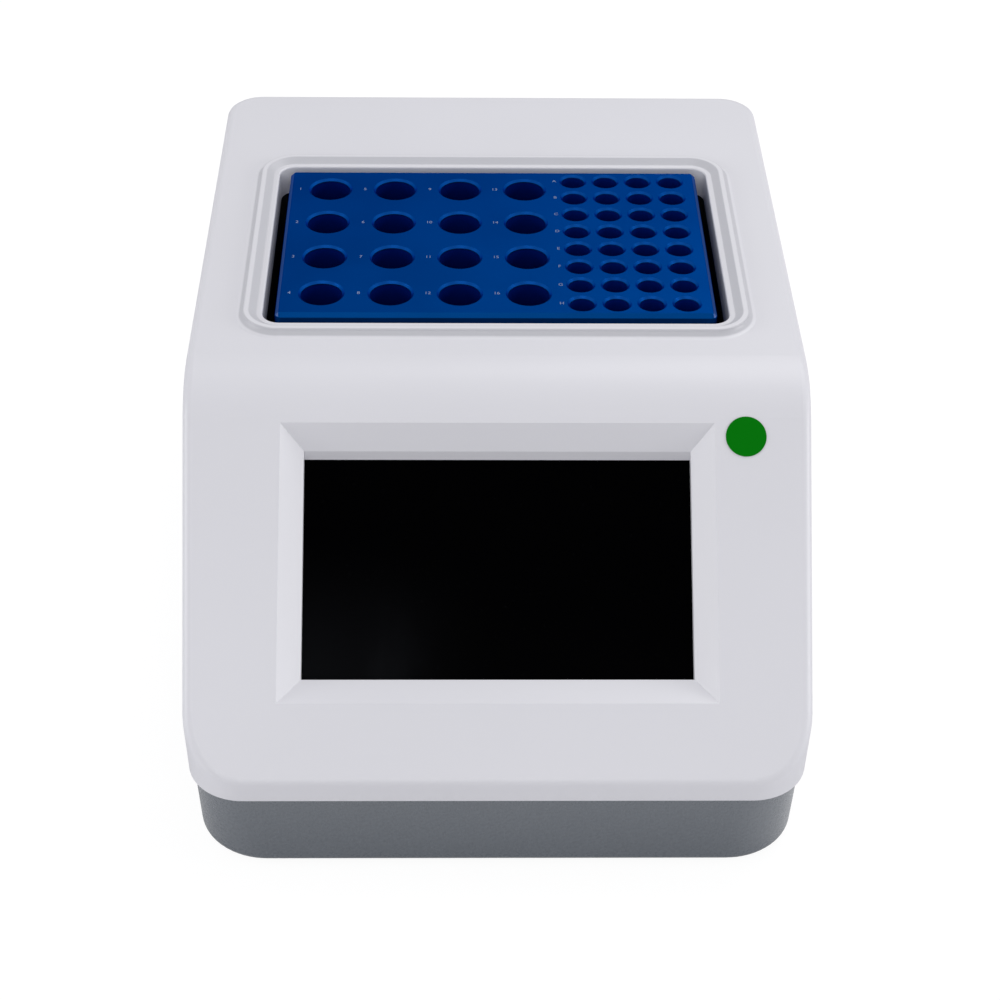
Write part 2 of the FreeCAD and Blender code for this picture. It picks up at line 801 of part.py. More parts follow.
def case_screw_points(z):
    return [("%d * case_screw_reach_x" % i, place, z) for i in (-1, 1)
            for place in ("front_y + case_screw_front", "rear_y - case_screw_rear")]


def vent_slots():
    """Horizontal slots in the back wall that fill the fan's circle."""
    pitch = number("vent_slot") + number("vent_rib")
    radius = number("fan_duct_radius") - number("vent_slot") / 2
    count = int(radius / pitch)
    slots = []
    for i in range(-count, count + 1):
        rise = "%d * (vent_slot + vent_rib)" % i
        width = "2 * sqrt((fan_duct_radius - vent_slot / 2) ^ 2 - (%s) ^ 2)" % rise
        slots.append(box("vent_slot_%d" % (i + count + 1), width, "4 * cover_wall", "vent_slot",
                         "fan_offset", "rear_y", "fan_level - vent_slot / 2 + %s" % rise))
    return slots


def build_cover():
    outside = moulded_form("cover_outside", "0", True)
    hollow = moulded_form("cover_hollow", "cover_wall", False)
    shell = cut("cover_shell", outside, hollow)
    opening = box("bay_opening", "bay_width + collar_wall", "bay_depth + collar_wall", "4 * cover_wall",
                  "0", "bay_y", "top_z - 2 * cover_wall")
    bosses = [rod("case_boss_%d" % (i + 1), "case_boss_radius", "case_boss_height", *point)
              for i, point in enumerate(case_screw_points("parting_z"))]
    ribs = [box("case_rib_%d" % (i + 1), "case_rib_width", "cover_wall", "case_boss_height - 2 * lip_height",
                "(%s) + %d * case_rib_width / 2" % (x, 1 if i > 1 else -1), y, z)
            for i, (x, y, z) in enumerate(case_screw_points("parting_z + 2 * lip_height"))]
    pillars = [panel_rod("display_boss_%d" % (i + 1), "display_boss_radius",
                         "display_board_n - cover_wall / 2", x, "cover_wall / 2", down)
               for i, (x, down) in enumerate(display_points())]
    fan_bores = [rod("fan_bore_%d" % (i + 1), "thread_radius + fit_gap", "4 * cover_wall", *point, BACK)
                 for i, point in enumerate(fan_points("rear_y - 2 * cover_wall"))]
    inner_form = moulded_form("boss_limit", "cover_wall / 2", False)
    stands = common("trimmed_bosses", join("boss_set", *bosses, *ribs), inner_form)
    body = join("cover_with_rim", cut("cover_open_shell", shell, opening), rim_ring(), bezel_backing(),
                stands, *pillars)
    inserts = [rod("insert_bore_%d" % (i + 1), "insert_radius + fit_gap", "insert_height + fit_gap", *point)
               for i, point in enumerate(case_screw_points("parting_z"))]
    shanks = [rod("shank_bore_%d" % (i + 1), "screw_radius + fit_gap", "case_bore_depth", *point)
              for i, point in enumerate(case_screw_points("parting_z"))]
    threads = [panel_rod("display_bore_%d" % (i + 1), "thread_radius", "display_thread + over_cut", x,
                         "display_board_n - display_thread", down)
               for i, (x, down) in enumerate(display_points())]
    inlet = box("inlet_hole", "inlet_width + 2 * inlet_gap", "4 * cover_wall", "inlet_tall + 2 * inlet_gap",
                "-inlet_offset", "rear_y", "inlet_level - inlet_tall / 2 - inlet_gap")
    keep(cut("cover_finished", body, *bezel_cutters(), *inserts, *shanks, *threads, inlet, *fan_bores,
             *vent_slots()), "top_cover")


def build_display():
    outer = panel_box("gasket_sheet", "glass_width", "gasket_thickness", "glass_length", "0",
                      "bezel_depth + well_drop")
    inner = panel_box("gasket_hole", "glass_width - 2 * gasket_band", "3 * gasket_thickness",
                      "glass_length - 2 * gasket_band", "0", "bezel_depth + well_drop - gasket_thickness")
    keep(cut("gasket_frame", outer, inner), "display_gasket")
    keep(panel_box("touch_sheet", "glass_width", "glass_thickness", "glass_length", "0", "glass_n"),
         "touch_glass")
    frame = panel_box("lcd_frame", "glass_width", "lcd_thickness", "glass_length", "0", "lcd_n")
    keep(frame, "lcd_panel")
    sheet = panel_box("display_sheet", "display_board_width", "board_thickness", "display_board_length", "0",
                      "display_board_n")
    holes = [panel_rod("display_hole_%d" % (i + 1), "thread_radius + fit_gap",
                       "board_thickness + 2 * over_cut", x, "display_board_n - over_cut", down)
             for i, (x, down) in enumerate(display_points())]
    chips = [panel_box("display_driver", "driver_size", "driver_height", "driver_size", "-driver_offset",
                       "display_back_n"),
             panel_box("display_memory", "memory_width", "memory_height", "memory_length", "memory_offset",
                       "display_back_n"),
             panel_box("display_plug", "plug_width", "plug_height", "plug_length", "plug_offset",
                       "display_back_n", "display_centre + plug_drop")]
    keep(join("display_assembly", cut("display_bare", sheet, *holes), *chips), "display_board")
    screws = []
    for i, (x, down) in enumerate(display_points()):
        head = panel_rod("display_screw_head_%d" % (i + 1), "display_head_radius", "display_head_height", x,
                         "display_back_n", down)
        shank = panel_rod("display_screw_shank_%d" % (i + 1), "thread_radius - fit_gap",
                          "board_thickness + display_bite + fit_gap", x, "display_board_n - display_bite",
                          down)
        screws.append(join("display_screw_%d" % (i + 1), head, shank))
    keep(group("display_screw_set", *screws), "display_screws")
    dot = panel_rod("sticker_disc", "sticker_radius", "sticker_thickness", "sticker_offset",
                    "-sticker_thickness", "sticker_drop")
    keep(dot, "green_sticker")


# Heating block with its two grids of tapered wells

def well_grid(body, name, grid_x, pitch, columns, rows, section):
    """Turn one well's section about its axis and repeat it over the grid."""
    first_x = "(%s) - (%s) * %s" % (grid_x, pitch, (columns - 1) / 2)
    first_y = "-(%s) * %s" % (pitch, (rows - 1) / 2)
    sketch = sketch_on(body, "XZ_Plane", name + "_section", first_x, "block_height", "-(%s)" % first_y)
    outline(sketch, section)
    groove = body.newObject("PartDesign::Groove", name + "_cut")
    groove.Profile = sketch
    groove.ReferenceAxis = (sketch, ["V_Axis"])
    groove.Angle = 360
    document.recompute()
    grid = body.newObject("PartDesign::MultiTransform", name + "_grid")
    grid.Originals = [groove]
    steps = []
    for way, axis, number_of in (("columns", "H_Axis", columns), ("rows", "N_Axis", rows)):
        step = document.addObject("PartDesign::LinearPattern", name + "_" + way)
        body.addObject(step)
        step.Direction = (sketch, [axis])
        step.Occurrences = number_of
        step.Reversed = axis == "N_Axis"
        bind(step, Length="(%s) * %d" % (pitch, number_of - 1))
        steps.append(step)
    grid.Transformations = steps
    body.Tip = grid
    document.recompute()


def well_section(bore, straight, tip, depth):
    """Half section of a well: mouth chamfer, straight seat, cone and flat tip."""
    radius = "%s / 2" % bore
    points = [("0", "over_cut"), (radius + " + well_chamfer + over_cut", "over_cut"),
              (radius, "-well_chamfer")]
    if straight:
        points.append((radius, "-(%s)" % straight))
    return points + [("%s / 2" % tip, "-(%s)" % depth), ("0", "-(%s)" % depth)]


def build_block():
    body = document.addObject("PartDesign::Body", "block_body")
    plan = sketch_on(body, "XY_Plane", "block_plan")
    outline(plan, [("-block_width / 2", "-block_depth / 2"), ("block_width / 2", "-block_depth / 2"),
                   ("block_width / 2", "block_depth / 2"), ("-block_width / 2", "block_depth / 2")])
    pad = pad_of(body, plan, "block_blank", "block_height")
    top = number("block_height")
    feature = dressed(body, "Fillet", "block_corners", pad, edges_where(pad.Shape, lambda e: spans(e, 0, top)),
                      Radius="block_corner")
    dressed(body, "Chamfer", "block_top_edge", feature,
            edges_where(feature.Shape, lambda e: on_plane(e, "z", top)), Size="block_edge")
    well_grid(body, "tube_well", "tube_grid_x", "tube_pitch", TUBE_COLUMNS, TUBE_ROWS,
              well_section("tube_bore", "tube_straight", "tube_tip", "tube_depth"))
    well_grid(body, "strip_well", "strip_grid_x", "strip_pitch", STRIP_COLUMNS, STRIP_ROWS,
              well_section("strip_bore", None, "strip_tip", "strip_depth"))
    put(body, "0", "bay_y", "block_low_z")
    sockets = [rod("block_socket_%d" % (i + 1), "pin_radius + pin_clearance", "pin_rise + over_cut",
                   "%d * pin_reach" % side, "bay_y", "block_low_z") for i, side in enumerate((-1, 1))]
    keep(cut("block_finished", body, *sockets), "heating_block")


# Heater stack: plate, film heater, insulation and the carrier that holds them up

def stack_points(z):
    return corners("spacer_reach_x", "spacer_reach_y", "0", "bay_y", z)


def build_heater_stack():
    plate = rounded_plate("heater_plate_body", "block_width", "block_depth", "plate_thickness",
                          "block_corner", "0", "bay_y", "plate_low_z")
    pins = [rod("pin_%d" % (i + 1), "pin_radius", "pin_rise + plate_thickness / 2", "%d * pin_reach" % side,
                "bay_y", "block_low_z - plate_thickness / 2") for i, side in enumerate((-1, 1))]
    pin_bores = [rod("pin_bore_%d" % (i + 1), "pin_radius + fit_gap / 2", "plate_thickness / 2",
                     "%d * pin_reach" % side, "bay_y", "block_low_z - plate_thickness / 2")
                 for i, side in enumerate((-1, 1))]
    threads = [rod("plate_thread_%d" % (i + 1), "screw_radius + fit_gap", "plate_thickness / 2 + over_cut",
                   *point) for i, point in enumerate(stack_points("plate_low_z"))]
    sensor_z = "plate_low_z + plate_thickness / 2"
    plate_front = "bay_y - block_depth / 2"
    sensor_bore = rod("sensor_bore", "sensor_radius + fit_gap", "sensor_length", "sensor_offset",
                      plate_front, sensor_z, BACK)
    keep(cut("heater_plate_drilled", plate, *pin_bores, *threads, sensor_bore), "heater_plate")
    keep(group("locating_pin_pair", *pins), "locating_pins")
    keep(rod("sensor_probe", "sensor_radius", "sensor_length", "sensor_offset",
             plate_front + " - sensor_rise", sensor_z, BACK), "temperature_sensor")

    centre_hole = "cutout_radius + cutout_clearance"
    radius = "spacer_radius + spacer_gap"
    for node, low, thickness in (("heater_mat", "mat_low_z", "mat_thickness"),
                                 ("insulation_pad", "pad_low_z", "pad_thickness")):
        sheet = rounded_plate(node + "_sheet", "block_width - 2 * stack_inset",
                              "block_depth - 2 * stack_inset", thickness, "block_corner", "0", "bay_y", low)
        holes = [rod("%s_hole_%d" % (node, i + 1), radius, thickness, *point)
                 for i, point in enumerate(stack_points(low))]
        centre = rod(node + "_centre", centre_hole, thickness, "0", "bay_y", low)
        keep(cut(node + "_pierced", sheet, *holes, centre), node)

    spacer = ring("spacer", "spacer_radius", "screw_radius + fit_gap", "pad_thickness + mat_thickness",
                  "0", "0", "0")
    keep(copies("spacer_set", spacer, stack_points("pad_low_z")), "plate_spacers")
    screw = screw_master("plate_screw",
                         "carrier_thickness + pad_thickness + mat_thickness + plate_thickness / 2")
    keep(copies("plate_screw_set", screw, stack_points("carrier_low_z"), 180), "plate_screws")
    carrier = rounded_plate("carrier_sheet", "carrier_width", "carrier_depth", "carrier_thickness",
                            "carrier_corner", "0", "bay_y", "carrier_low_z")
    carrier_holes = [rod("carrier_hole_%d" % (i + 1), "screw_radius + fit_gap", "carrier_thickness", *point)
                     for i, point in enumerate(stack_points("carrier_low_z")
                                               + post_points("carrier_low_z"))]
    carrier_holes += [countersink("carrier_countersink_%d" % (i + 1), "fit_gap", *point)
                      for i, point in enumerate(post_points("pad_low_z"))]
    carrier_centre = rod("carrier_centre", centre_hole, "carrier_thickness", "0", "bay_y", "carrier_low_z")
    keep(cut("carrier_pierced", carrier, *carrier_holes, carrier_centre), "carrier_plate")

    can = rod("cutout_can", "cutout_radius", "cutout_height - cutout_cap_height", "0", "bay_y",
              "plate_low_z - cutout_height + cutout_cap_height")
    cap = rod("cutout_cap", "cutout_cap_radius", "cutout_cap_height + join_overlap", "0", "bay_y",
              "plate_low_z - cutout_height")
    keep(join("cutout_body", can, cap), "thermal_cutout")


def post_points(z):
    return corners("post_reach_x", "post_reach_y", "0", "bay_y", z)


def build_posts():
    height = number("carrier_low_z") - number("floor_z") - number("post_boss_height")
    stem = rod("post_stem", "post_radius", "carrier_low_z - floor_z - post_boss_height", "0", "0", "0")
    stud = rod("post_stud", "screw_radius", "post_boss_height - over_cut", "0", "0",
               "over_cut - post_boss_height")
    thread = rod("post_thread", "screw_radius + fit_gap", "post_thread_depth", "0", "0",
                 "carrier_low_z - floor_z - post_boss_height - post_thread_depth")
    post = cut("post_master", join("post_solid", stem, stud), thread)
    if height <= 0:
        raise ValueError("the carrier lies too low for its posts")
    keep(copies("post_set", post, post_points("floor_z + post_boss_height")), "carrier_posts")
    screw = flush_screw_master("carrier_screw", "carrier_thickness + carrier_bite")
    keep(copies("carrier_screw_set", screw, post_points("pad_low_z")), "carrier_screws")


def build_liner():
    """Dark frame that closes the bay between the collar and the carrier."""
    low, high = "pad_low_z", "collar_low_z - liner_seat_gap"
    inner_x, inner_y = "bay_width + 2 * liner_gap", "bay_depth + 2 * liner_gap"
    outside = rounded_plate("liner_outside", inner_x + " + 2 * liner_wall", inner_y + " + 2 * liner_wall",
                            "(%s) - %s" % (high, low), "bay_corner + liner_wall", "0", "bay_y", low)
    inside = rounded_plate("liner_inside", inner_x, inner_y, "(%s) - %s + 2 * over_cut" % (high, low),
                           "bay_corner", "0", "bay_y", low + " - over_cut")
    keep(cut("liner_frame", outside, inside), "bay_liner")


# Grey tray under the cover, with its lip, bosses, vents and feet

def lofted_tray(name, inset, low, high):
    """Solid that narrows towards the floor; inset by the wall it is the tray's hollow."""
    body = document.addObject("PartDesign::Body", name)
    sections = []
    for level, taper in ((high, "((parting_z) - (%s)) / tray_height * tray_taper" % high),
                         (low, "((parting_z) - (%s)) / tray_height * tray_taper" % low)):
        sketch = sketch_on(body, "XY_Plane", "%s_section_%d" % (name, len(sections) + 1), lift=level)
        edge = "tray_inset + (%s) + %s" % (inset, taper)
        outline(sketch, [("-(parting_half - (%s))" % edge, "front_y + " + edge),
                         ("parting_half - (%s)" % edge, "front_y + " + edge),
                         ("parting_half - (%s)" % edge, "rear_y - (%s)" % edge),
                         ("-(parting_half - (%s))" % edge, "rear_y - (%s)" % edge)])
        sections.append(sketch)
    loft = body.newObject("PartDesign::AdditiveLoft", name + "_loft")
    loft.Profile = sections[0]
    loft.Sections = [sections[1]]
    loft.Ruled = True
    document.recompute()
    low_z, high_z = number(low), number(high)
    feature = loft
    for side, corner in ((-1, "tray_corner"), (1, "rear_corner")):
        names = edges_where(feature.Shape, lambda e: spans(e, low_z, high_z)
                            and all(side * v.Point.y > 0 for v in e.Vertexes))
        feature = dressed(body, "Fillet", name + "_" + corner, feature, names,
                          Radius="%s - (%s)" % (corner, inset))
    if inset == "0":
        names = edges_where(feature.Shape, lambda e: on_plane(e, "z", low_z))
        dressed(body, "Fillet", name + "_foot_edge", feature, names, Radius="tray_edge")
    return body


def tray_lip():
    """Tongue on the tray's edge that stands inside the cover."""
    edge = "cover_wall + lip_gap"
    low = "parting_z - lip_height"
    outside = rounded_plate("lip_outside", "2 * (parting_half - (%s))" % edge,
                            "rear_y - front_y - 2 * (%s)" % edge, "2 * lip_height",
                            "front_corner - (%s)" % edge, "0", "(front_y + rear_y) / 2", low)
    inside = rounded_plate("lip_inside", "2 * (parting_half - (%s) - lip_wall)" % edge,
                           "rear_y - front_y - 2 * (%s) - 2 * lip_wall" % edge, "2 * (lip_height + over_cut)",
                           "front_corner - (%s) - lip_wall" % edge, "0", "(front_y + rear_y) / 2",
                           low + " - over_cut")
    return cut("lip_ring", outside, inside)


def foot_points(z):
    return corners("foot_reach_x", "foot_reach_y", "0", "0", z)


def control_points(z):
    return corners("control_width / 2 - control_inset", "control_depth / 2 - control_inset", "0",
                   "control_y", z)


def build_tray():
    outside = lofted_tray("tray_outside", "0", "foot_height", "parting_z")
    hollow = lofted_tray("tray_hollow", "tray_wall", "floor_z", "parting_z + over_cut")
    shell = cut("tray_shell", outside, hollow)
    bosses = [rod("tray_boss_%d" % (i + 1), "case_boss_radius + tray_boss_wall",
                  "tray_height - join_overlap", *point)
              for i, point in enumerate(case_screw_points("foot_height + join_overlap"))]
    posts = [rod("post_boss_%d" % (i + 1), "post_radius + post_boss_wall", "post_boss_height + join_overlap",
                 *point) for i, point in enumerate(post_points("floor_z - join_overlap"))]
    feet = [rod("foot_boss_%d" % (i + 1), "foot_boss_radius", "foot_screw_length", *point)
            for i, point in enumerate(foot_points("floor_z - join_overlap"))]
    solid = join("tray_solid", shell, tray_lip(), *bosses, *posts, *feet)
    recess = [rod("head_bore_%d" % (i + 1), "head_radius + head_gap", "head_recess", *point)
              for i, point in enumerate(case_screw_points("foot_height"))]
    shanks = [rod("tray_bore_%d" % (i + 1), "screw_radius + fit_gap", "tray_height + 2 * over_cut", *point)
              for i, point in enumerate(case_screw_points("foot_height - over_cut"))]
    studs = [rod("stud_bore_%d" % (i + 1), "screw_radius + fit_gap", "post_boss_height + over_cut", *point)
             for i, point in enumerate(post_points("floor_z"))]
    pockets = [rod("foot_pocket_%d" % (i + 1), "foot_radius + foot_gap", "foot_recess", *point)
               for i, point in enumerate(foot_points("foot_height"))]
    foot_bores = [rod("foot_bore_%d" % (i + 1), "screw_radius + fit_gap", "foot_screw_length + over_cut",
                      *point) for i, point in enumerate(foot_points("foot_height"))]
    threads = [rod("ear_thread_%d" % (i + 1), "screw_radius + fit_gap", "tray_wall - supply_floor_gap",
                   *point) for i, point in enumerate(ear_points("foot_height + supply_floor_gap"))]
    slot_y = "control_y + control_depth / 2 + floor_slot_length / 2 + floor_slot_gap"
    slots = [box("floor_slot_%d" % (i + 1), "floor_slot", "floor_slot_length", "3 * tray_wall",
                 "%d * 3 * floor_slot" % (i - FLOOR_SLOTS // 2), slot_y, "foot_height - tray_wall")
             for i in range(FLOOR_SLOTS)]
    keep(cut("tray_finished", solid, *recess, *shanks, *studs, *pockets, *foot_bores, *threads,
             *slots), "base_tray")


def build_feet():
    cone = document.addObject("Part::Cone", "foot_cone")
    bind(cone, Radius1="foot_radius - foot_taper", Radius2="foot_radius", Height="foot_height + foot_recess")
    bore = rod("foot_hole", "screw_radius + fit_gap", "foot_height + foot_recess", "0", "0", "0")
    counterbore = rod("foot_counterbore", "head_radius + head_gap", "foot_bore_depth", "0", "0", "0")
    keep(copies("foot_set", cut("foot_master", cone, bore, counterbore), foot_points("0")), "rubber_feet")
    screw = screw_master("foot_screw", "foot_height + foot_screw_length - foot_bore_depth")
    keep(copies("foot_screw_set", screw, foot_points("foot_bore_depth"), 180), "foot_screws")


def build_case_fasteners():
    screw = screw_master("case_screw", "case_screw_length")
    keep(copies("case_screw_set", screw, case_screw_points("foot_height + head_recess"), 180), "case_screws")
    insert = ring("insert", "insert_radius", "screw_radius + fit_gap / 2", "insert_height", "0", "0", "0")
    keep(copies("insert_set", insert, case_screw_points("parting_z")), "case_inserts")


# Control board

def build_control():
    sheet = box("control_sheet", "control_width", "control_depth", "board_thickness", "0", "control_y",
                "control_z")
    holes = [rod("control_hole_%d" % (i + 1), "screw_radius + fit_gap", "board_thickness", *point)
             for i, point in enumerate(control_points("control_z"))]
    keep(cut("control_drilled", sheet, *holes), "control_board")
    post = ring("board_post", "board_post_radius", "screw_radius + fit_gap", "control_lift", "0", "0", "0")
    keep(copies("board_post_set", post, control_points("floor_z")), "board_posts")
    screw = screw_master("board_screw", "control_lift - over_cut")
    keep(copies("board_screw_set", screw, control_points("control_top_z")), "board_screws")


def build_board_parts():
    """Relay, terminals, buzzer, chip and capacitors that stand on the control board."""
    top = "control_top_z"
    keep(box("relay_case", "relay_width", "relay_depth", "relay_height", "-relay_offset",
             "control_y + relay_back", top), "heater_relay")
    terminal = box("terminal_case", "%d * terminal_pitch" % TERMINAL_WAYS, "terminal_depth",
                   "terminal_height", "-terminal_offset", "control_y + terminal_back", top)
    throat_y = "control_y + terminal_back + (terminal_depth - throat_depth + over_cut) / 2"
    throats = [box("terminal_throat_%d" % (i + 1), "throat_width", "throat_depth + over_cut", "throat_height",
                   "(%d + 0.5 - %d / 2) * terminal_pitch - terminal_offset" % (i, TERMINAL_WAYS), throat_y,
                   top + " + throat_rise") for i in range(TERMINAL_WAYS)]
    keep(cut("terminal_block", terminal, *throats), "screw_terminals")
    place = ("buzzer_offset", "control_y + buzzer_back", top)
    keep(join("buzzer_case", rod("buzzer_can", "buzzer_radius", "buzzer_height", *place),
              rod("buzzer_lip", "buzzer_radius - buzzer_crown", "buzzer_height + buzzer_crown", *place)),
         "buzzer")
    keep(box("chip_case", "chip_size", "chip_size", "chip_height", "chip_offset", "control_y - chip_front",
             top), "control_chip")
    cans = [rod("capacitor_%d" % (i + 1), "capacitor_radius", "capacitor_height",
                "capacitor_offset + %d * capacitor_spread" % side,
                "control_y + capacitor_back - %d * capacitor_span" % side, top)
            for i, side in enumerate((1, -1))]
    keep(group("capacitor_pair", *cans), "board_capacitors")


# Power supply under the bay

def ear_points(z):
    return corners("supply_width / 2 + supply_ear", "supply_depth / 4 - supply_ear", "0", "supply_y", z)


def build_supply():
    tray = box("chassis_block", "supply_width", "supply_depth", "supply_height", "0", "supply_y", "supply_z")
    hollow = box("chassis_hollow", "supply_width - 2 * supply_sheet", "supply_depth + 2 * over_cut",
                 "supply_height", "0", "supply_y", "supply_z + supply_sheet")
    ears = box("chassis_ears", "supply_width + 4 * supply_ear", "supply_depth / 2", "supply_sheet", "0",
               "supply_y", "supply_z")
    bores = [rod("ear_bore_%d" % (i + 1), "screw_radius + fit_gap", "supply_sheet", *point)
             for i, point in enumerate(ear_points("supply_z"))]
    keep(cut("chassis_tray", join("chassis_solid", cut("chassis_pan", tray, hollow), ears), *bores),
         "supply_chassis")
    screw = screw_master("ear_screw", "supply_sheet + tray_wall - supply_floor_gap - fit_gap")
    keep(copies("ear_screw_set", screw, ear_points("supply_z + supply_sheet")), "supply_screws")
    board = box("supply_circuit", "supply_width - 2 * (supply_sheet + supply_side_gap)",
                "supply_depth - 2 * supply_end_gap", "board_thickness", "0", "supply_y", "supply_board_z")
    legs = [rod("supply_leg_%d" % (i + 1), "supply_leg_radius", "supply_lift", *point)
            for i, point in enumerate(corners("supply_width / 2 - supply_leg_inset",
                                              "supply_depth / 2 - supply_leg_inset", "0", "supply_y",
                                              "supply_z + supply_sheet"))]
    keep(join("supply_board_with_legs", board, *legs), "supply_board")


def build_supply_parts():
    """Transformer, reservoir capacitors and heat sinks that stand on the supply's board."""
    top = "supply_top_z"
    coil_x = "coil_share * supply_width"
    core = box("transformer_core", "core_width", "core_depth", "core_height", coil_x, "supply_y",
               top + " + core_lift")
    coil = box("transformer_coil", "coil_width", "coil_depth", "coil_height", coil_x, "supply_y", top)
    keep(join("transformer_body", core, coil), "supply_transformer")
    cans = [rod("reservoir_%d" % (i + 1), "reservoir_radius", "reservoir_height",
                "-reservoir_share * supply_width",
                "supply_y - reservoir_front + %d * reservoir_pitch / 2" % side, top)
            for i, side in enumerate((-1, 1))]
    keep(group("reservoir_pair", *cans), "supply_capacitors")
    sinks = []
    for i, side in enumerate((-1, 1)):
        x = "%d * (supply_width / 2 - sink_side_gap)" % side
        spine = box("sink_spine_%d" % (i + 1), "sink_sheet", "sink_length", "sink_height", x, "supply_y", top)
        fins = [box("sink_fin_%d_%d" % (i + 1, j + 1), "fin_width", "fin_sheet", "sink_height", x,
                    "supply_y + (%d - %d / 2) * fin_pitch" % (j, SINK_FINS - 1), top)
                for j in range(SINK_FINS)]
        sinks.append(join("sink_%d" % (i + 1), spine, *fins))
    keep(group("sink_pair", *sinks), "supply_heatsinks")


# Mains inlet module: socket, fuse drawer and rocker switch in one housing

def build_inlet():
    x, face = "-inlet_offset", "rear_y + inlet_flange"
    flange = box("inlet_plate", "inlet_width + 2 * inlet_margin", "inlet_flange",
                 "inlet_tall + 2 * inlet_margin", x, "rear_y + inlet_flange / 2",
                 "inlet_level - inlet_tall / 2 - inlet_margin")
    case = box("inlet_case", "inlet_width", "inlet_body", "inlet_tall", x, "rear_y - inlet_body / 2",
               "inlet_level - inlet_tall / 2")
    socket_z = "inlet_level - socket_drop"
    socket = document.addObject("PartDesign::Body", "socket_cavity")
    section = sketch_on(socket, "XZ_Plane", "socket_section")
    wide, high = "socket_width / 2", "socket_tall / 2"
    outline(section, [("-" + wide, "-" + high), (wide, "-" + high), (wide, high + " - socket_bevel"),
                      (wide + " - socket_bevel", high), ("socket_bevel - " + wide, high),
                      ("-" + wide, high + " - socket_bevel")])
    pad_of(socket, section, "socket_depth_pad", "socket_depth + over_cut")
    put(socket, x, face + " + over_cut", socket_z)
    drawer_z = "inlet_level + drawer_rise"
    drawer_hole = box("drawer_cavity", "drawer_width + 2 * drawer_gap", "drawer_depth + 2 * over_cut",
                      "drawer_tall + 2 * drawer_gap", x, face + " - drawer_depth / 2",
                      drawer_z + " - drawer_tall / 2 - drawer_gap")
    rocker_z = "inlet_level + rocker_rise"
    pivot_y = face + " - rocker_pivot"
    rocker_hole = box("rocker_cavity", "2 * (rocker_radius + rocker_gap)", "rocker_hollow + over_cut",
                      "rocker_tall + 2 * rocker_gap", x, face + " - (rocker_hollow - over_cut) / 2",
                      rocker_z + " - rocker_tall / 2 - rocker_gap")
    pin_hole = rod("rocker_pin_hole", "rocker_pin_radius + fit_gap / 2", "rocker_tall + 2 * rocker_pin_bite",
                   x, pivot_y, rocker_z + " - rocker_tall / 2 - rocker_pin_bite")
    spots = ((0, "blade_stagger / 2"), (-1, "-blade_stagger / 2"), (1, "-blade_stagger / 2"))
    blades, slots = [], []
    for i, (side, rise) in enumerate(spots):
        place = ("(%s) + %d * blade_spacing / 2" % (x, side),
                 face + " - socket_depth + (blade_length - blade_tail) / 2",
                 "%s + (%s) - blade_tall / 2" % (socket_z, rise))
        blades.append(box("blade_%d" % (i + 1), "blade_width", "blade_length + blade_tail", "blade_tall",
                          *place))
        slots.append(box("blade_slot_%d" % (i + 1), "blade_width + fit_gap",
                         "blade_length + blade_tail + 2 * form_margin", "blade_tall + fit_gap", place[0],
                         place[1] + " - form_margin", place[2] + " - fit_gap / 2"))
    keep(cut("inlet_moulding", join("inlet_solid", flange, case), socket, drawer_hole, rocker_hole, pin_hole,
             *slots), "inlet_housing")
    keep(group("inlet_blades", *blades), "inlet_pins")

    drawer = box("drawer_block", "drawer_width", "drawer_depth", "drawer_tall", x,
                 face + " - drawer_depth / 2", drawer_z + " - drawer_tall / 2")
    fuse_y = face + " - fuse_setback - fuse_length"
    fuse_x = ["(%s) + %d * drawer_width / 4" % (x, side) for side in (-1, 1)]
    bays = [box("fuse_bay_%d" % (i + 1), "2 * (fuse_radius + fuse_gap)", "fuse_length + 2 * fuse_gap",
                "drawer_tall", place, fuse_y + " + fuse_length / 2",
                drawer_z + " - fuse_radius - fuse_gap")
            for i, place in enumerate(fuse_x)]
    grip = box("drawer_grip", "drawer_width / 3", "2 * grip_depth", "grip_height", x, face,
               drawer_z + " - drawer_tall / 2")
    keep(cut("drawer_moulding", drawer, *bays, grip), "fuse_drawer")
    fuses = [rod("fuse_%d" % (i + 1), "fuse_radius", "fuse_length", place, fuse_y, drawer_z, BACK)
             for i, place in enumerate(fuse_x)]
    keep(group("fuse_pair", *fuses), "mains_fuses")

    drum = rod("rocker_drum", "rocker_radius", "rocker_tall", "0", "0", "-rocker_tall / 2")
    slab = box("rocker_slab", "2 * rocker_radius", "rocker_front + rocker_back", "rocker_tall", "0",
               "(rocker_front - rocker_back) / 2", "-rocker_tall / 2")
    dish = rod("rocker_dish_cut", "rocker_dish", "rocker_tall", "0", "rocker_front - rocker_dip + rocker_dish",
               "-rocker_tall / 2")
    bore = rod("rocker_bore", "rocker_pin_radius + rocker_pin_gap", "rocker_tall", "0", "0",
               "-rocker_tall / 2")
    rocker = cut("rocker_moulding", common("rocker_blank", drum, slab), dish, bore)
    turn(rocker, "rocker_tilt", Vector(0, 0, -1))
    keep(put(rocker, x, pivot_y, rocker_z), "power_rocker")
    keep(rod("rocker_axle", "rocker_pin_radius", "rocker_tall + 2 * (rocker_pin_bite - fit_gap)", x, pivot_y,
             rocker_z + " - rocker_tall / 2 - rocker_pin_bite + fit_gap"), "rocker_pin")


# Axial fan behind the vents

def fan_points(y):
    return [(x, y, z) for x, z, y in corners("fan_screw_reach", "fan_screw_reach", "fan_offset",
                                             "fan_level", y)]


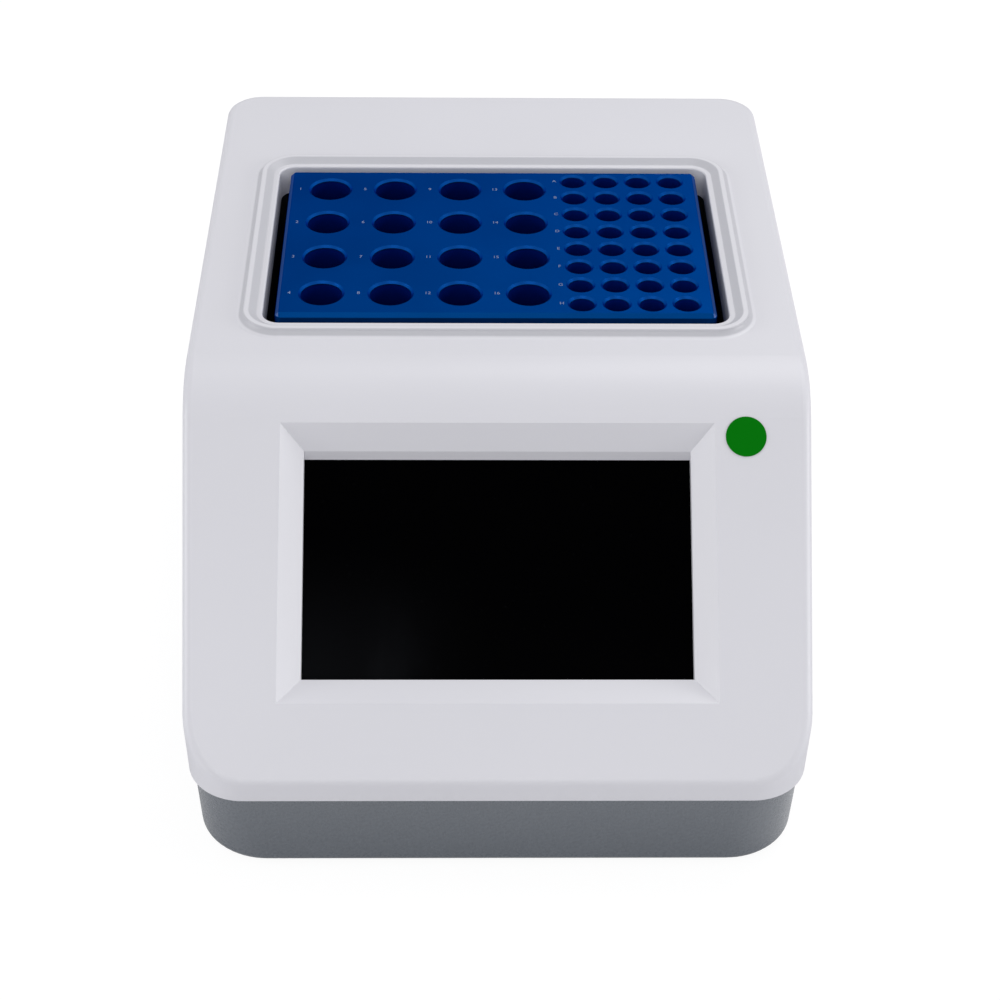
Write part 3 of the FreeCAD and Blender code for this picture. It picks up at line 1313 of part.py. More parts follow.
def build_fan():
    square = box("fan_square", "fan_size", "fan_thickness", "fan_size", "fan_offset",
                 "inner_rear_y - fan_thickness / 2", "fan_level - fan_size / 2")
    through = "fan_thickness + 2 * over_cut"
    before = "fan_front_y - over_cut"
    duct = rod("fan_duct", "fan_duct_radius", through, "fan_offset", before, "fan_level", BACK)
    holes = [rod("fan_hole_%d" % (i + 1), "thread_radius + fit_gap", through, *point, BACK)
             for i, point in enumerate(fan_points(before))]
    rim = cut("fan_rim", square, duct, *holes)
    seat = rod("fan_seat", "fan_motor_radius", "fan_motor_depth", "fan_offset", "fan_front_y", "fan_level",
               BACK)
    span = "2 * fan_duct_radius + join_overlap"
    strut_y = "fan_front_y + fan_strut_depth / 2"
    struts = [box("fan_strut_across", span, "fan_strut_depth", "fan_strut_width", "fan_offset", strut_y,
                  "fan_level - fan_strut_width / 2"),
              box("fan_strut_upright", "fan_strut_width", "fan_strut_depth", span, "fan_offset", strut_y,
                  "fan_level - (%s) / 2" % span)]
    sleeve = rod("fan_sleeve", "fan_shaft_radius + fan_sleeve_wall", "fan_motor_depth + fan_sleeve_rise",
                 "fan_offset", "fan_front_y", "fan_level", BACK)
    bearing = rod("fan_bearing", "fan_shaft_radius + fan_shaft_gap", "fan_motor_depth + fan_sleeve_rise",
                  "fan_offset", "fan_front_y + over_cut", "fan_level", BACK)
    keep(cut("fan_casting", join("fan_body", rim, seat, sleeve, *struts), bearing), "fan_frame")

    hub = rod("hub_drum", "fan_hub_radius", "fan_hub_depth", "0", "0", "0")
    cup = rod("hub_cup", "fan_hub_radius - fan_hub_wall", "fan_hub_depth - fan_hub_wall", "0", "0", "0")
    shaft = rod("hub_shaft", "fan_shaft_radius", "fan_hub_depth + fan_rotor_gap", "0", "0",
                "-fan_rotor_gap")
    blades = [fan_blade(i, FAN_BLADES) for i in range(FAN_BLADES)]
    rotor = join("rotor_moulding", cut("hub_shell", hub, cup), shaft, *blades)
    rotor.Placement.Rotation = Rotation(Vector(1, 0, 0), BACK)
    keep(put(rotor, "fan_offset", "fan_front_y + fan_motor_depth + fan_rotor_gap", "fan_level"), "fan_rotor")
    screw = screw_master("fan_screw", "fan_thickness / 2 + cover_wall", head_height="fan_head_height",
                         shank="thread_radius")
    keep(copies("fan_screw_set", screw, fan_points("rear_y"), BACK), "fan_screws")


def fan_blade(index, count):
    """Twisted blade lofted from its root on the hub to its tip in the duct."""
    body = document.addObject("PartDesign::Body", "blade_body_%d" % (index + 1))
    stations = (("fan_hub_radius - join_overlap", "fan_root_pitch"),
                ("fan_duct_radius - fan_blade_gap", "fan_tip_pitch"))
    sections = []
    for lift, pitch in stations:
        sketch = sketch_on(body, "YZ_Plane", "blade_%d_section_%d" % (index + 1, len(sections) + 1), lift=lift)
        half_x, half_y = "fan_blade_chord / 2", "fan_blade_thickness / 2"
        points = []
        for i, j in ((-1, -1), (1, -1), (1, 1), (-1, 1)):
            points.append(("%d * %s * cos(%s) - %d * %s * sin(%s)" % (i, half_x, pitch, j, half_y, pitch),
                           "fan_hub_depth / 2 + %d * %s * sin(%s) + %d * %s * cos(%s)"
                           % (i, half_x, pitch, j, half_y, pitch)))
        outline(sketch, points)
        sections.append(sketch)
    loft = body.newObject("PartDesign::AdditiveLoft", "blade_loft_%d" % (index + 1))
    loft.Profile = sections[0]
    loft.Sections = [sections[1]]
    loft.Ruled = True
    document.recompute()
    body.Placement = Placement(Vector(0, 0, 0), Rotation(Vector(0, 0, 1), 360.0 * index / count))
    return body


def check_document():
    """Stop if any object failed or any sub-part is not a valid solid."""
    for item in document.Objects:
        if "Invalid" in item.State or "Error" in item.State:
            raise ValueError("failed object: %s" % item.Name)
    for item in nodes:
        shape = item.Shape
        if shape.isNull() or not shape.isValid() or not shape.Solids:
            raise ValueError("no valid solid: %s" % item.Label)


fill_sheets()
build_cover()
build_display()
build_block()
build_heater_stack()
build_posts()
build_liner()
build_tray()
build_feet()
build_case_fasteners()
build_control()
build_board_parts()
build_supply()
build_supply_parts()
build_inlet()
build_fan()
document.recompute()
check_document()
os.makedirs("parts", exist_ok=True)
for item in nodes:
    item.Shape.exportStep("parts/%s.step" % item.Label)
    print("%-20s %2d solids %10.1f mm3" % (item.Label, len(item.Shape.Solids), item.Shape.Volume))
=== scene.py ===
"""Dry bath incubator: finishes, fine pieces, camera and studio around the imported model."""

import json
import logging
import math
from dataclasses import dataclass
from enum import Enum, IntEnum
from typing import Any

import bpy
from mathutils import Matrix, Vector


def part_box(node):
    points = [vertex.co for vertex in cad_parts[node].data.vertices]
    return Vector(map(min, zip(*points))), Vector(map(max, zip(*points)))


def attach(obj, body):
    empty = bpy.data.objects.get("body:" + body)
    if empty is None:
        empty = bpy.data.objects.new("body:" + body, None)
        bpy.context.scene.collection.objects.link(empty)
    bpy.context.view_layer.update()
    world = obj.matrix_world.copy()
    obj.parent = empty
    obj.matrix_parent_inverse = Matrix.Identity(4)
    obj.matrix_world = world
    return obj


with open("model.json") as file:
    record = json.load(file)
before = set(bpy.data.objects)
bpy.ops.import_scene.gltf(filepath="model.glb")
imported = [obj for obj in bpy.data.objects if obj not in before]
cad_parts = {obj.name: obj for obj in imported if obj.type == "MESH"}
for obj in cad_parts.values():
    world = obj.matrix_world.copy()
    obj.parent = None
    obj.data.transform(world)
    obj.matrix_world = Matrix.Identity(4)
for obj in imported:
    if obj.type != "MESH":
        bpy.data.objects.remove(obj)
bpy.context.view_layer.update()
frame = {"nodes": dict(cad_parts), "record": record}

log = logging.getLogger("dry_bath")

MM = 0.001
NOISE_MIDDLE = 0.5

Triple = tuple[float, float, float]
Colour = Triple
Span = tuple[float, float]
Look = dict[str, Any]


def opaque(colour: Colour) -> tuple[float, ...]:
    """A colour with full alpha."""
    return (*colour, 1.0)


def dimmed(colour: Colour, share: float) -> Colour:
    """A colour with only a share of its light."""
    return tuple(part * share for part in colour)


def add(name: str, data: bpy.types.ID) -> bpy.types.Object:
    """Add an object to the scene.

    Args:
        name: the object's name.
        data: its mesh, lamp or camera.

    Returns:
        The object.
    """
    item = bpy.data.objects.new(name, data)
    bpy.context.scene.collection.objects.link(item)
    return item


# Node work

class Value:
    """A number that varies over a surface; operators on it add Math nodes."""

    def __init__(self, work: "NodeWork", socket: bpy.types.NodeSocket) -> None:
        """Wrap a socket.

        Args:
            work: builder of the tree that the socket belongs to.
            socket: output that carries the number.
        """
        self.work = work
        self.socket = socket

    def _maths(self, operation: str, *terms: "Value | float") -> "Value":
        """Add a Math node.

        Args:
            operation: what the node does.
            terms: numbers for its sockets, in order.

        Returns:
            The node's result.
        """
        node = self.work.node("ShaderNodeMath", {"operation": operation}, dict(enumerate(terms)))
        return Value(self.work, node.outputs[0])

    def __add__(self, other: "Value | float") -> "Value":
        """Sum."""
        return self._maths("ADD", self, other)

    def __radd__(self, other: float) -> "Value":
        """Sum, reflected."""
        return self._maths("ADD", other, self)

    def __sub__(self, other: "Value | float") -> "Value":
        """Difference."""
        return self._maths("SUBTRACT", self, other)

    def __rsub__(self, other: float) -> "Value":
        """Difference, reflected."""
        return self._maths("SUBTRACT", other, self)

    def __mul__(self, other: "Value | float") -> "Value":
        """Product."""
        return self._maths("MULTIPLY", self, other)

    def __rmul__(self, other: float) -> "Value":
        """Product, reflected."""
        return self._maths("MULTIPLY", other, self)

    def __truediv__(self, other: "Value | float") -> "Value":
        """Quotient."""
        return self._maths("DIVIDE", self, other)

    def __lt__(self, other: float) -> "Value":
        """1 where the number is below the other."""
        return self._maths("LESS_THAN", self, other)

    def __gt__(self, other: float) -> "Value":
        """1 where the number is above the other."""
        return self._maths("GREATER_THAN", self, other)

    def size(self) -> "Value":
        """Distance from zero."""
        return self._maths("ABSOLUTE", self)

    def at_least(self, low: float) -> "Value":
        """The number, or a lower limit where it is below that."""
        return self._maths("MAXIMUM", self, low)

    def nearest(self, pitch: float) -> "Value":
        """Signed distance from the nearest multiple of a pitch."""
        return self._maths("WRAP", self, pitch / 2, -pitch / 2)

    def floor(self) -> "Value":
        """Whole number below."""
        return self._maths("FLOOR", self)

    def root(self) -> "Value":
        """Square root."""
        return self._maths("SQRT", self)

    def ease(self, low: float, high: float) -> "Value":
        """Smooth step.

        Args:
            low: number up to which the step is 0.
            high: number from which it is 1.

        Returns:
            The step, from 0 to 1.
        """
        node = self.work.node("ShaderNodeMapRange", {"interpolation_type": "SMOOTHSTEP"},
                              {"Value": self, "From Min": low, "From Max": high})
        return Value(self.work, node.outputs["Result"])


class NodeWork:
    """Adds nodes to one tree."""

    def __init__(self, tree: bpy.types.NodeTree) -> None:
        """Keep the tree that the nodes go into."""
        self.tree = tree

    def node(self, kind: str, settings: dict[str, Any] | None = None,
             inputs: dict[Any, Any] | None = None) -> bpy.types.Node:
        """Add one node.

        Args:
            kind: node type.
            settings: the node's own properties, set before its sockets.
            inputs: socket name or index to a number, a colour, a Value or an output socket.

        Returns:
            The new node.
        """
        node = self.tree.nodes.new(kind)
        for name, setting in (settings or {}).items():
            setattr(node, name, setting)
        for key, given in (inputs or {}).items():
            if isinstance(given, Value):
                given = given.socket
            if isinstance(given, bpy.types.NodeSocket):
                self.link(given, node.inputs[key])
            else:
                node.inputs[key].default_value = given
        return node

    def link(self, source: bpy.types.NodeSocket, target: bpy.types.NodeSocket) -> None:
        """Join an output socket to an input socket."""
        self.tree.links.new(source, target)


class MixSocket(IntEnum):
    """Places of the sockets of a Mix node that mixes colours."""

    FACTOR = 0
    FIRST = 6
    SECOND = 7
    RESULT = 2


class Surface(NodeWork):
    """A material's tree, with the patterns that the finishes share."""

    def __init__(self, name: str) -> None:
        """Start a material with an empty tree.

        Args:
            name: the material's name.
        """
        self.material = bpy.data.materials.new(name)
        self.material.use_nodes = True
        super().__init__(self.material.node_tree)
        self.tree.nodes.clear()
        self.place = self.node("ShaderNodeTexCoord").outputs["Object"]

    def axes(self) -> tuple[Value, Value, Value]:
        """Object coordinates in metres, one Value for each axis."""
        parts = self.node("ShaderNodeSeparateXYZ", None, {0: self.place})
        return tuple(Value(self, socket) for socket in parts.outputs)

    def noise(self, size: float, detail: float = 2.0, stretch: Triple = (1.0, 1.0, 1.0)) -> Value:
        """Add a noise pattern.

        Args:
            size: width of one blotch, in metres.
            detail: how many finer layers it has.
            stretch: scale of the coordinates before the noise is read.

        Returns:
            A number around NOISE_MIDDLE.
        """
        mapped = self.node("ShaderNodeMapping", {"vector_type": "POINT"},
                           {"Vector": self.place, "Scale": stretch})
        node = self.node("ShaderNodeTexNoise", None,
                         {"Vector": mapped.outputs[0], "Scale": 1.0 / size, "Detail": detail})
        return Value(self, node.outputs[0])

    def cells(self, size: float) -> Value:
        """Distance from the middle of round cells of a size in metres."""
        node = self.node("ShaderNodeTexVoronoi", None, {"Vector": self.place, "Scale": 1.0 / size})
        return Value(self, node.outputs["Distance"])

    def blend(self, factor: Value, first: Any, second: Any) -> bpy.types.NodeSocket:
        """Mix two colours.

        Args:
            factor: share of the second one.
            first: a colour or a socket.
            second: a colour or a socket.

        Returns:
            The mixed colour's socket.
        """
        pair = [c if isinstance(c, bpy.types.NodeSocket) else opaque(c) for c in (first, second)]
        node = self.node("ShaderNodeMix", {"data_type": "RGBA"},
                         {MixSocket.FACTOR: factor, MixSocket.FIRST: pair[0], MixSocket.SECOND: pair[1]})
        return node.outputs[MixSocket.RESULT]

    def bump(self, height: Value, depth: float) -> bpy.types.NodeSocket:
        """Normal of a relief of a depth in metres."""
        inputs = {"Height": height, "Distance": depth, "Strength": 1.0}
        return self.node("ShaderNodeBump", None, inputs).outputs[0]

    def finish(self, look: Look) -> bpy.types.Material:
        """Add the surface shader and the output.

        Args:
            look: name of each socket of the shader that is set, to its number, colour or link.

        Returns:
            The material.
        """
        shader = self.node("ShaderNodeBsdfPrincipled", None, look)
        self.node("ShaderNodeOutputMaterial", None, {"Surface": shader.outputs[0]})
        return self.material


# Finishes

@dataclass(frozen=True)
class WellSpec:
    """Sizes of one grid of wells; the centre is its place across the block."""

    centre: float
    pitch: float
    columns: int
    rows: int
    bore: float

    def shift(self, count: int) -> float:
        """Offset that puts a row of wells on whole multiples of the pitch."""
        return self.pitch / 2 if count % 2 == 0 else 0.0


class WellGrid(Enum):
    """The block's two grids of wells."""

    TUBE = WellSpec(centre=-18.25 * MM, pitch=17.85 * MM, columns=4, rows=4, bore=10.8 * MM)
    STRIP = WellSpec(centre=35.6 * MM, pitch=9.0 * MM, columns=4, rows=8, bore=6.4 * MM)


@dataclass(frozen=True)
class Finish:
    """A named finish; each kind says how its surface looks."""

    name: str
    colour: Colour

    def look(self, surface: Surface) -> Look:
        """Sockets of the surface shader, which each kind of finish gives."""
        raise NotImplementedError

    def material(self) -> bpy.types.Material:
        """Build the material."""
        surface = Surface(self.name)
        return surface.finish(self.look(surface))


@dataclass(frozen=True)
class Moulded(Finish):
    """Moulded plastic with a fine etched grain and a faint cloudiness."""

    roughness: float = 0.42
    grain: float = 0.5 * MM
    relief: float = 0.006 * MM
    mottle: float = 0.02
    coat: float = 0.0
    shine: float = 0.5
    grain_detail: float = 3.0
    uneven: float = 0.16
    coat_roughness: float = 0.25
    cloud: float = 60 * MM
    cloud_edges: Span = (0.3, 0.7)

    def base(self, surface: Surface) -> bpy.types.NodeSocket:
        """Cloud the colour.

        Args:
            surface: the material's tree.

        Returns:
            The colour's socket.
        """
        cloud = surface.noise(self.cloud).ease(*self.cloud_edges)
        return surface.blend(cloud, dimmed(self.colour, 1 - self.mottle), self.colour)

    def look(self, surface: Surface) -> Look:
        """Grain the surface.

        Args:
            surface: the material's tree.

        Returns:
            Sockets of the surface shader.
        """
        grain = surface.noise(self.grain, self.grain_detail)
        return {
            "Base Color": self.base(surface),
            "Roughness": self.roughness + (grain - NOISE_MIDDLE) * self.uneven,
            "Normal": surface.bump(grain, self.relief),
            "Coat Weight": self.coat,
            "Coat Roughness": self.coat_roughness,
            "Specular IOR Level": self.shine,
        }


@dataclass(frozen=True)
class RimmedCover(Moulded):
    """Moulded cover whose rim has painted shade on its two slopes."""

    # darker grey of the painted shade on the rim's slopes
    painted_slope_shade: Colour = (0.545, 0.545, 0.58)
    bay_gap: Span = (3.1 * MM, 3.0 * MM)
    bay_corner: float = 4.5 * MM
    slopes: tuple[Span, Span] = ((1.5 * MM, 3.5 * MM), (4.7 * MM, 6.0 * MM))
    soft: float = 0.25 * MM
    rim_zone: float = 4.0 * MM

    def _band(self, reach: Value, slope: Span) -> Value:
        """Find one slope.

        Args:
            reach: distance from the bay's opening.
            slope: distances at which it starts and ends.

        Returns:
            1 on the slope, 0 elsewhere, with soft edges.
        """
        start, end = (reach.ease(edge - self.soft, edge + self.soft) for edge in slope)
        return start - end

    def base(self, surface: Surface) -> bpy.types.NodeSocket:
        """Paint shade on the slopes, found by the distance from the bay's opening.

        Args:
            surface: the material's tree.

        Returns:
            The colour's socket.
        """
        x, y, z = surface.axes()
        low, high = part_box("heating_block")
        width = (high.x - low.x) / 2 + self.bay_gap[0] - self.bay_corner
        length = (high.y - low.y) / 2 + self.bay_gap[1] - self.bay_corner
        across = (x.size() - width).at_least(0.0)
        along = ((y - (low.y + high.y) / 2).size() - length).at_least(0.0)
        reach = (across * across + along * along).root() - self.bay_corner
        inner, outer = (self._band(reach, slope) for slope in self.slopes)
        on_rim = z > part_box("top_cover")[1].z - self.rim_zone
        # painted shade: both rim slopes are mixed towards a darker grey
        return surface.blend((inner + outer) * on_rim, super().base(surface), self.painted_slope_shade)


@dataclass(frozen=True)
class Anodised(Finish):
    """Bead-blasted aluminium under a coloured oxide.

    The chamfers at the wells' mouths carry a painted highlight, the chamfers of the block's side edges a
    pale painted reflection, and the wells are painted in shade inside.
    """

    # brighter blue of the painted highlight on the wells' mouth chamfers
    painted_mouth_highlight: Colour
    # darker navy of the painted shade inside the wells
    painted_well_shade: Colour
    # pale grey blue of the painted reflection on the side edges' chamfers
    painted_edge_reflection: Colour
    edge: Colour
    chamfer: float = 0.9 * MM
    skin: float = 0.02 * MM
    lip: float = 0.75 * MM
    roughness: float = 0.42
    uneven: float = 0.2
    polish: float = 0.1
    blast: float = 0.25 * MM
    blast_detail: float = 3.0
    relief: float = 0.004 * MM
    cloud: float = 25 * MM
    cloud_edges: Span = (0.3, 0.7)
    cloud_light: float = 0.9
    dulled: float = 0.7

    def _mouth(self, spec: WellSpec, across: Value, along: Value) -> Value:
        """Find the mouths of one grid of wells.

        Args:
            spec: the grid's sizes.
            across: place from the grid's middle, across the block.
            along: place from the grid's middle, along the block.

        Returns:
            1 near a mouth, 0 elsewhere.
        """
        side = (across + spec.shift(spec.columns)).nearest(spec.pitch)
        ahead = (along + spec.shift(spec.rows)).nearest(spec.pitch)
        reach = (side * side + ahead * ahead).root()
        within = ((across.size() < spec.columns / 2 * spec.pitch)
                  * (along.size() < spec.rows / 2 * spec.pitch))
        return (reach < spec.bore / 2 + self.lip) * within

    def look(self, surface: Surface) -> Look:
        """Colour the top, with a painted highlight on the wells' mouths, a pale painted reflection on the
        side edges and painted shade inside the wells.

        Args:
            surface: the material's tree.

        Returns:
            Sockets of the surface shader.
        """
        blast = surface.noise(self.blast, self.blast_detail)
        cloud = surface.noise(self.cloud).ease(*self.cloud_edges)
        x, y, z = surface.axes()
        low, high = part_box("heating_block")
        depth = high.z - z
        middle = (low.y + high.y) / 2
        large, small = (self._mouth(grid.value, x - grid.value.centre, y - middle) for grid in WellGrid)
        mouth = large + small
        cut = (depth < self.chamfer) * (depth > self.skin)
        inside = mouth * (depth > self.chamfer)
        sides = ((x - low.x) < self.chamfer) + ((high.x - x) < self.chamfer)
        plain = surface.blend(cloud, dimmed(self.colour, self.cloud_light), self.colour)
        # painted highlight: the chamfers at the wells' mouths turn a brighter blue
        with_mouth_highlight = surface.blend(mouth * cut, plain, self.painted_mouth_highlight)
        # painted reflection: the side edges' chamfers turn a pale grey blue
        painted_edge_reflection = surface.blend(sides * cut, with_mouth_highlight, self.painted_edge_reflection)
        return {
            # painted shade: below the chamfers the wells turn a darker navy
            "Base Color": surface.blend(inside, painted_edge_reflection, self.painted_well_shade),
            "Roughness": (self.roughness + (blast - NOISE_MIDDLE) * self.uneven
                          - mouth * cut * self.polish),
            "Normal": surface.bump(blast, self.relief),
            "Metallic": 1.0 - inside * self.dulled,
            "Specular Tint": opaque(self.edge),
        }


@dataclass(frozen=True)
class ScreenGlass(Finish):
    """Black touch glass, paler and hazier in faint streaks towards its lower left corner, with a little
    dust.
    """

    haze: Colour
    roughness: float = 0.10
    hazed: float = 0.35
    shine: float = 0.004
    streak: float = 18 * MM
    streak_detail: float = 5.0
    streak_stretch: Triple = (1.0, 0.35, 0.35)
    streak_edges: Span = (0.52, 0.78)
    streak_share: float = 0.5
    dust: float = 1.2 * MM
    dust_edges: Span = (0.66, 0.8)
    dust_share: float = 0.12
    corner: Span = (60 * MM, 30 * MM)
    corner_start: Span = (0.1, 0.0)

    def look(self, surface: Surface) -> Look:
        """Haze the glass.

        Args:
            surface: the material's tree.

        Returns:
            Sockets of the surface shader.
        """
        streak = surface.noise(self.streak, self.streak_detail, self.streak_stretch).ease(*self.streak_edges)
        dust = surface.noise(self.dust).ease(*self.dust_edges)
        x, _, z = surface.axes()
        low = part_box("touch_glass")[0]
        left = (1 - (x - low.x) / self.corner[0]).ease(self.corner_start[0], 1.0)
        bottom = (1 - (z - low.z) / self.corner[1]).ease(self.corner_start[1], 1.0)
        streaked = streak * self.streak_share + (1 - self.streak_share)
        # paler and hazier towards the lower left corner, in streaks, and faintly all over
        haze_share = left * bottom * streaked + dust * self.dust_share
        return {
            "Base Color": surface.blend(haze_share, self.colour, self.haze),
            "Roughness": self.roughness + haze_share * self.hazed,
            "Specular IOR Level": self.shine,
        }


@dataclass(frozen=True)
class BareMetal(Finish):
    """Plain metal with fine tool marks along one axis."""

    roughness: float = 0.32
    stretch: Triple = (1.0, 0.04, 1.0)
    relief: float = 0.004 * MM
    marks: float = 0.35 * MM
    marks_detail: float = 4.0
    uneven: float = 0.25
    cloud: float = 12 * MM
    cloud_detail: float = 3.0
    cloud_edges: Span = (0.25, 0.75)
    cloud_light: float = 0.82
    cloud_uneven: float = 0.1

    def look(self, surface: Surface) -> Look:
        """Draw the tool marks.

        Args:
            surface: the material's tree.

        Returns:
            Sockets of the surface shader.
        """
        marks = surface.noise(self.marks, self.marks_detail, self.stretch)
        cloud = surface.noise(self.cloud, self.cloud_detail)
        dull = dimmed(self.colour, self.cloud_light)
        return {
            "Base Color": surface.blend(cloud.ease(*self.cloud_edges), dull, self.colour),
            "Roughness": (self.roughness + (marks - NOISE_MIDDLE) * self.uneven
                          + (cloud - NOISE_MIDDLE) * self.cloud_uneven),
            "Normal": surface.bump(marks, self.relief),
            "Metallic": 1.0,
        }


@dataclass(frozen=True)
class CircuitBoard(Finish):
    """Solder mask over copper tracks, with tinned pads."""

    track: Colour
    tin: Colour = (0.62, 0.6, 0.55)
    track_pitch: Span = (2.2 * MM, 3.1 * MM)
    track_half: float = 0.28 * MM
    jog: float = 12 * MM
    jog_size: float = 9 * MM
    patch: float = 22 * MM
    pad_pitch: float = 4.5 * MM
    pad_reach: float = 0.13
    pad_metal: float = 0.9
    pad_roughness: float = 0.1
    roughness: float = 0.32
    relief: float = 0.03 * MM
    coat: float = 0.3
    coat_roughness: float = 0.2

    def look(self, surface: Surface) -> Look:
        """Draw patches of tracks that run one way or the other.

        Args:
            surface: the material's tree.

        Returns:
            Sockets of the surface shader.
        """
        x, y, _ = surface.axes()
        jog = (surface.noise(self.jog_size, 0.0) - NOISE_MIDDLE) * self.jog
        line = (x + jog).nearest(self.track_pitch[0]).size()
        cross = (y + jog).nearest(self.track_pitch[1]).size()
        half = surface.noise(self.patch, 0.0) > NOISE_MIDDLE
        copper = (line < self.track_half) * half + (cross < self.track_half) * (1 - half)
        pads = surface.cells(self.pad_pitch) < self.pad_reach
        board = surface.blend(copper, self.colour, self.track)
        return {
            "Base Color": surface.blend(pads, board, self.tin),
            "Roughness": self.roughness + pads * self.pad_roughness,
            "Metallic": pads * self.pad_metal,
            "Normal": surface.bump(copper + pads, self.relief),
            "Coat Weight": self.coat,
            "Coat Roughness": self.coat_roughness,
        }


@dataclass(frozen=True)
class Foam(Finish):
    """Open foam or felt."""

    pores: float = 0.9 * MM
    pore_edges: Span = (0.1, 0.5)
    pore_light: float = 0.55
    roughness: float = 0.95
    relief: float = 0.12 * MM

    def look(self, surface: Surface) -> Look:
        """Open the pores.

        Args:
            surface: the material's tree.

        Returns:
            Sockets of the surface shader.
        """
        pores = surface.cells(self.pores)
        dark = dimmed(self.colour, self.pore_light)
        return {
            "Base Color": surface.blend(pores.ease(*self.pore_edges), dark, self.colour),
            "Roughness": self.roughness,
            "Normal": surface.bump(pores, self.relief),
        }


@dataclass(frozen=True)
class HeaterFilm(Finish):
    """Amber film with metal tracks showing through."""

    track: Colour
    pitch: float = 4 * MM
    track_half: float = 0.9 * MM
    reach: float = 50 * MM
    roughness: float = 0.3
    uneven: float = 0.12
    uneven_size: float = 8 * MM
    coat: float = 0.5
    relief: float = 0.04 * MM

    def look(self, surface: Surface) -> Look:
        """Draw the tracks.

        Args:
            surface: the material's tree.

        Returns:
            Sockets of the surface shader.
        """
        x, y, _ = surface.axes()
        run = (y.nearest(self.pitch).size() < self.track_half) * (x.size() < self.reach)
        return {
            "Base Color": surface.blend(run, self.colour, self.track),
            "Roughness": self.roughness + surface.noise(self.uneven_size) * self.uneven,
            "Normal": surface.bump(run, self.relief),
            "Coat Weight": self.coat,
        }


@dataclass(frozen=True)
class Winding(Finish):
    """Taped coil with turns that show through."""

    turn: float = 0.8 * MM
    groove_edges: Span = (0.1, 0.9)
    groove_light: float = 0.5
    roughness: float = 0.35
    uneven: float = 0.2
    relief: float = 0.15 * MM

    def look(self, surface: Surface) -> Look:
        """Draw the turns.

        Args:
            surface: the material's tree.

        Returns:
            Sockets of the surface shader.
        """
        z = surface.axes()[2]
        groove = z.nearest(self.turn).size() / (self.turn / 2)
        dark = dimmed(self.colour, self.groove_light)
        return {
            "Base Color": surface.blend(groove.ease(*self.groove_edges), self.colour, dark),
            "Roughness": self.roughness + groove * self.uneven,
            "Normal": surface.bump(1 - groove, self.relief),
        }


@dataclass(frozen=True)
class ClearGlass(Finish):
    """Thin clear tube."""

    cloud: float = 3 * MM
    cloud_light: float = 0.9
    roughness: float = 0.05
    uneven: float = 0.08
    clearness: float = 0.55

    def look(self, surface: Surface) -> Look:
        """Cloud the glass faintly.

        Args:
            surface: the material's tree.

        Returns:
            Sockets of the surface shader.
        """
        cloud = surface.noise(self.cloud)
        return {
            "Base Color": surface.blend(cloud, self.colour, dimmed(self.colour, self.cloud_light)),
            "Roughness": self.roughness + cloud * self.uneven,
            "Alpha": self.clearness,
        }


ALONG_SCREW = (1.0, 1.0, 0.1)

FINISHES: dict[str, Finish] = {
    "cover_white": RimmedCover("cover white", (0.72, 0.716, 0.757), roughness=0.40, grain=0.45 * MM,
                               relief=0.005 * MM, mottle=0.015, coat=0.12),
    "tray_grey": Moulded("tray grey", (0.096, 0.112, 0.134), roughness=0.28, grain=0.8 * MM,
                         relief=0.001 * MM, mottle=0.04, coat=0.8, shine=1.0),
    "block_blue": Anodised("block blue", (0.0005, 0.061, 0.262), painted_mouth_highlight=(0.004, 0.085, 0.40),
                           painted_well_shade=(0.0, 0.009, 0.15), painted_edge_reflection=(0.1, 0.16, 0.38), edge=(0.0, 0.3, 0.8)),
    "bare_aluminium": BareMetal("bare aluminium", (0.72, 0.72, 0.74), roughness=0.36),
    "zinc_steel": BareMetal("zinc steel", (0.6, 0.61, 0.63), roughness=0.3, stretch=ALONG_SCREW),
    "screen_black": ScreenGlass("screen black", (0.0004, 0.0004, 0.0006), haze=(0.009, 0.0095, 0.011)),
    "seal_black": Moulded("seal black", (0.018, 0.018, 0.018), roughness=0.75, grain=0.6 * MM,
                          relief=0.02 * MM, mottle=0.1),
    "circuit_green": CircuitBoard("circuit green", (0.008, 0.10, 0.04), track=(0.02, 0.19, 0.08)),
    "sticker_green": Moulded("sticker green", (0.0, 0.18, 0.002), roughness=0.55, grain=0.8 * MM,
                             relief=0.002 * MM, mottle=0.06, shine=0.04),
    "black_plastic": Moulded("black plastic", (0.017, 0.017, 0.019), roughness=0.45, grain=0.4 * MM,
                             relief=0.012 * MM, mottle=0.15),
    "terminal_green": Moulded("terminal green", (0.03, 0.26, 0.09), roughness=0.4,
                              relief=0.01 * MM, mottle=0.08),
    "relay_blue": Moulded("relay blue", (0.02, 0.09, 0.34), roughness=0.3, grain=0.6 * MM,
                          mottle=0.08, coat=0.3),
    "capacitor_sleeve": Moulded("capacitor sleeve", (0.02, 0.02, 0.07), roughness=0.28, grain=0.7 * MM,
                                mottle=0.1, coat=0.4),
    "winding_amber": Winding("winding amber", (0.55, 0.36, 0.07)),
    "heater_amber": HeaterFilm("heater amber", (0.42, 0.15, 0.02), track=(0.5, 0.32, 0.16)),
    "pad_grey": Foam("pad grey", (0.46, 0.46, 0.45)),
    "foot_rubber": Moulded("foot rubber", (0.022, 0.022, 0.022), roughness=0.8,
                           relief=0.03 * MM, mottle=0.15),
    "brass_plain": BareMetal("brass", (0.72, 0.52, 0.2), roughness=0.28, stretch=ALONG_SCREW),
    "fuse_glass": ClearGlass("fuse glass", (0.8, 0.86, 0.86)),
}


# Geometry trees

class InputKind(Enum):
    """What an input of a piece's tree takes."""

    GEOMETRY = "NodeSocketGeometry"
    NUMBER = "NodeSocketFloat"
    COUNT = "NodeSocketInt"
    PLACE = "NodeSocketVector"
    MATERIAL = "NodeSocketMaterial"


class RandomSocket(IntEnum):
    """Places of the sockets of a Random Value node."""

    LOWEST = 4
    HIGHEST = 5
    WHOLE = 2
    CHOICE = 3


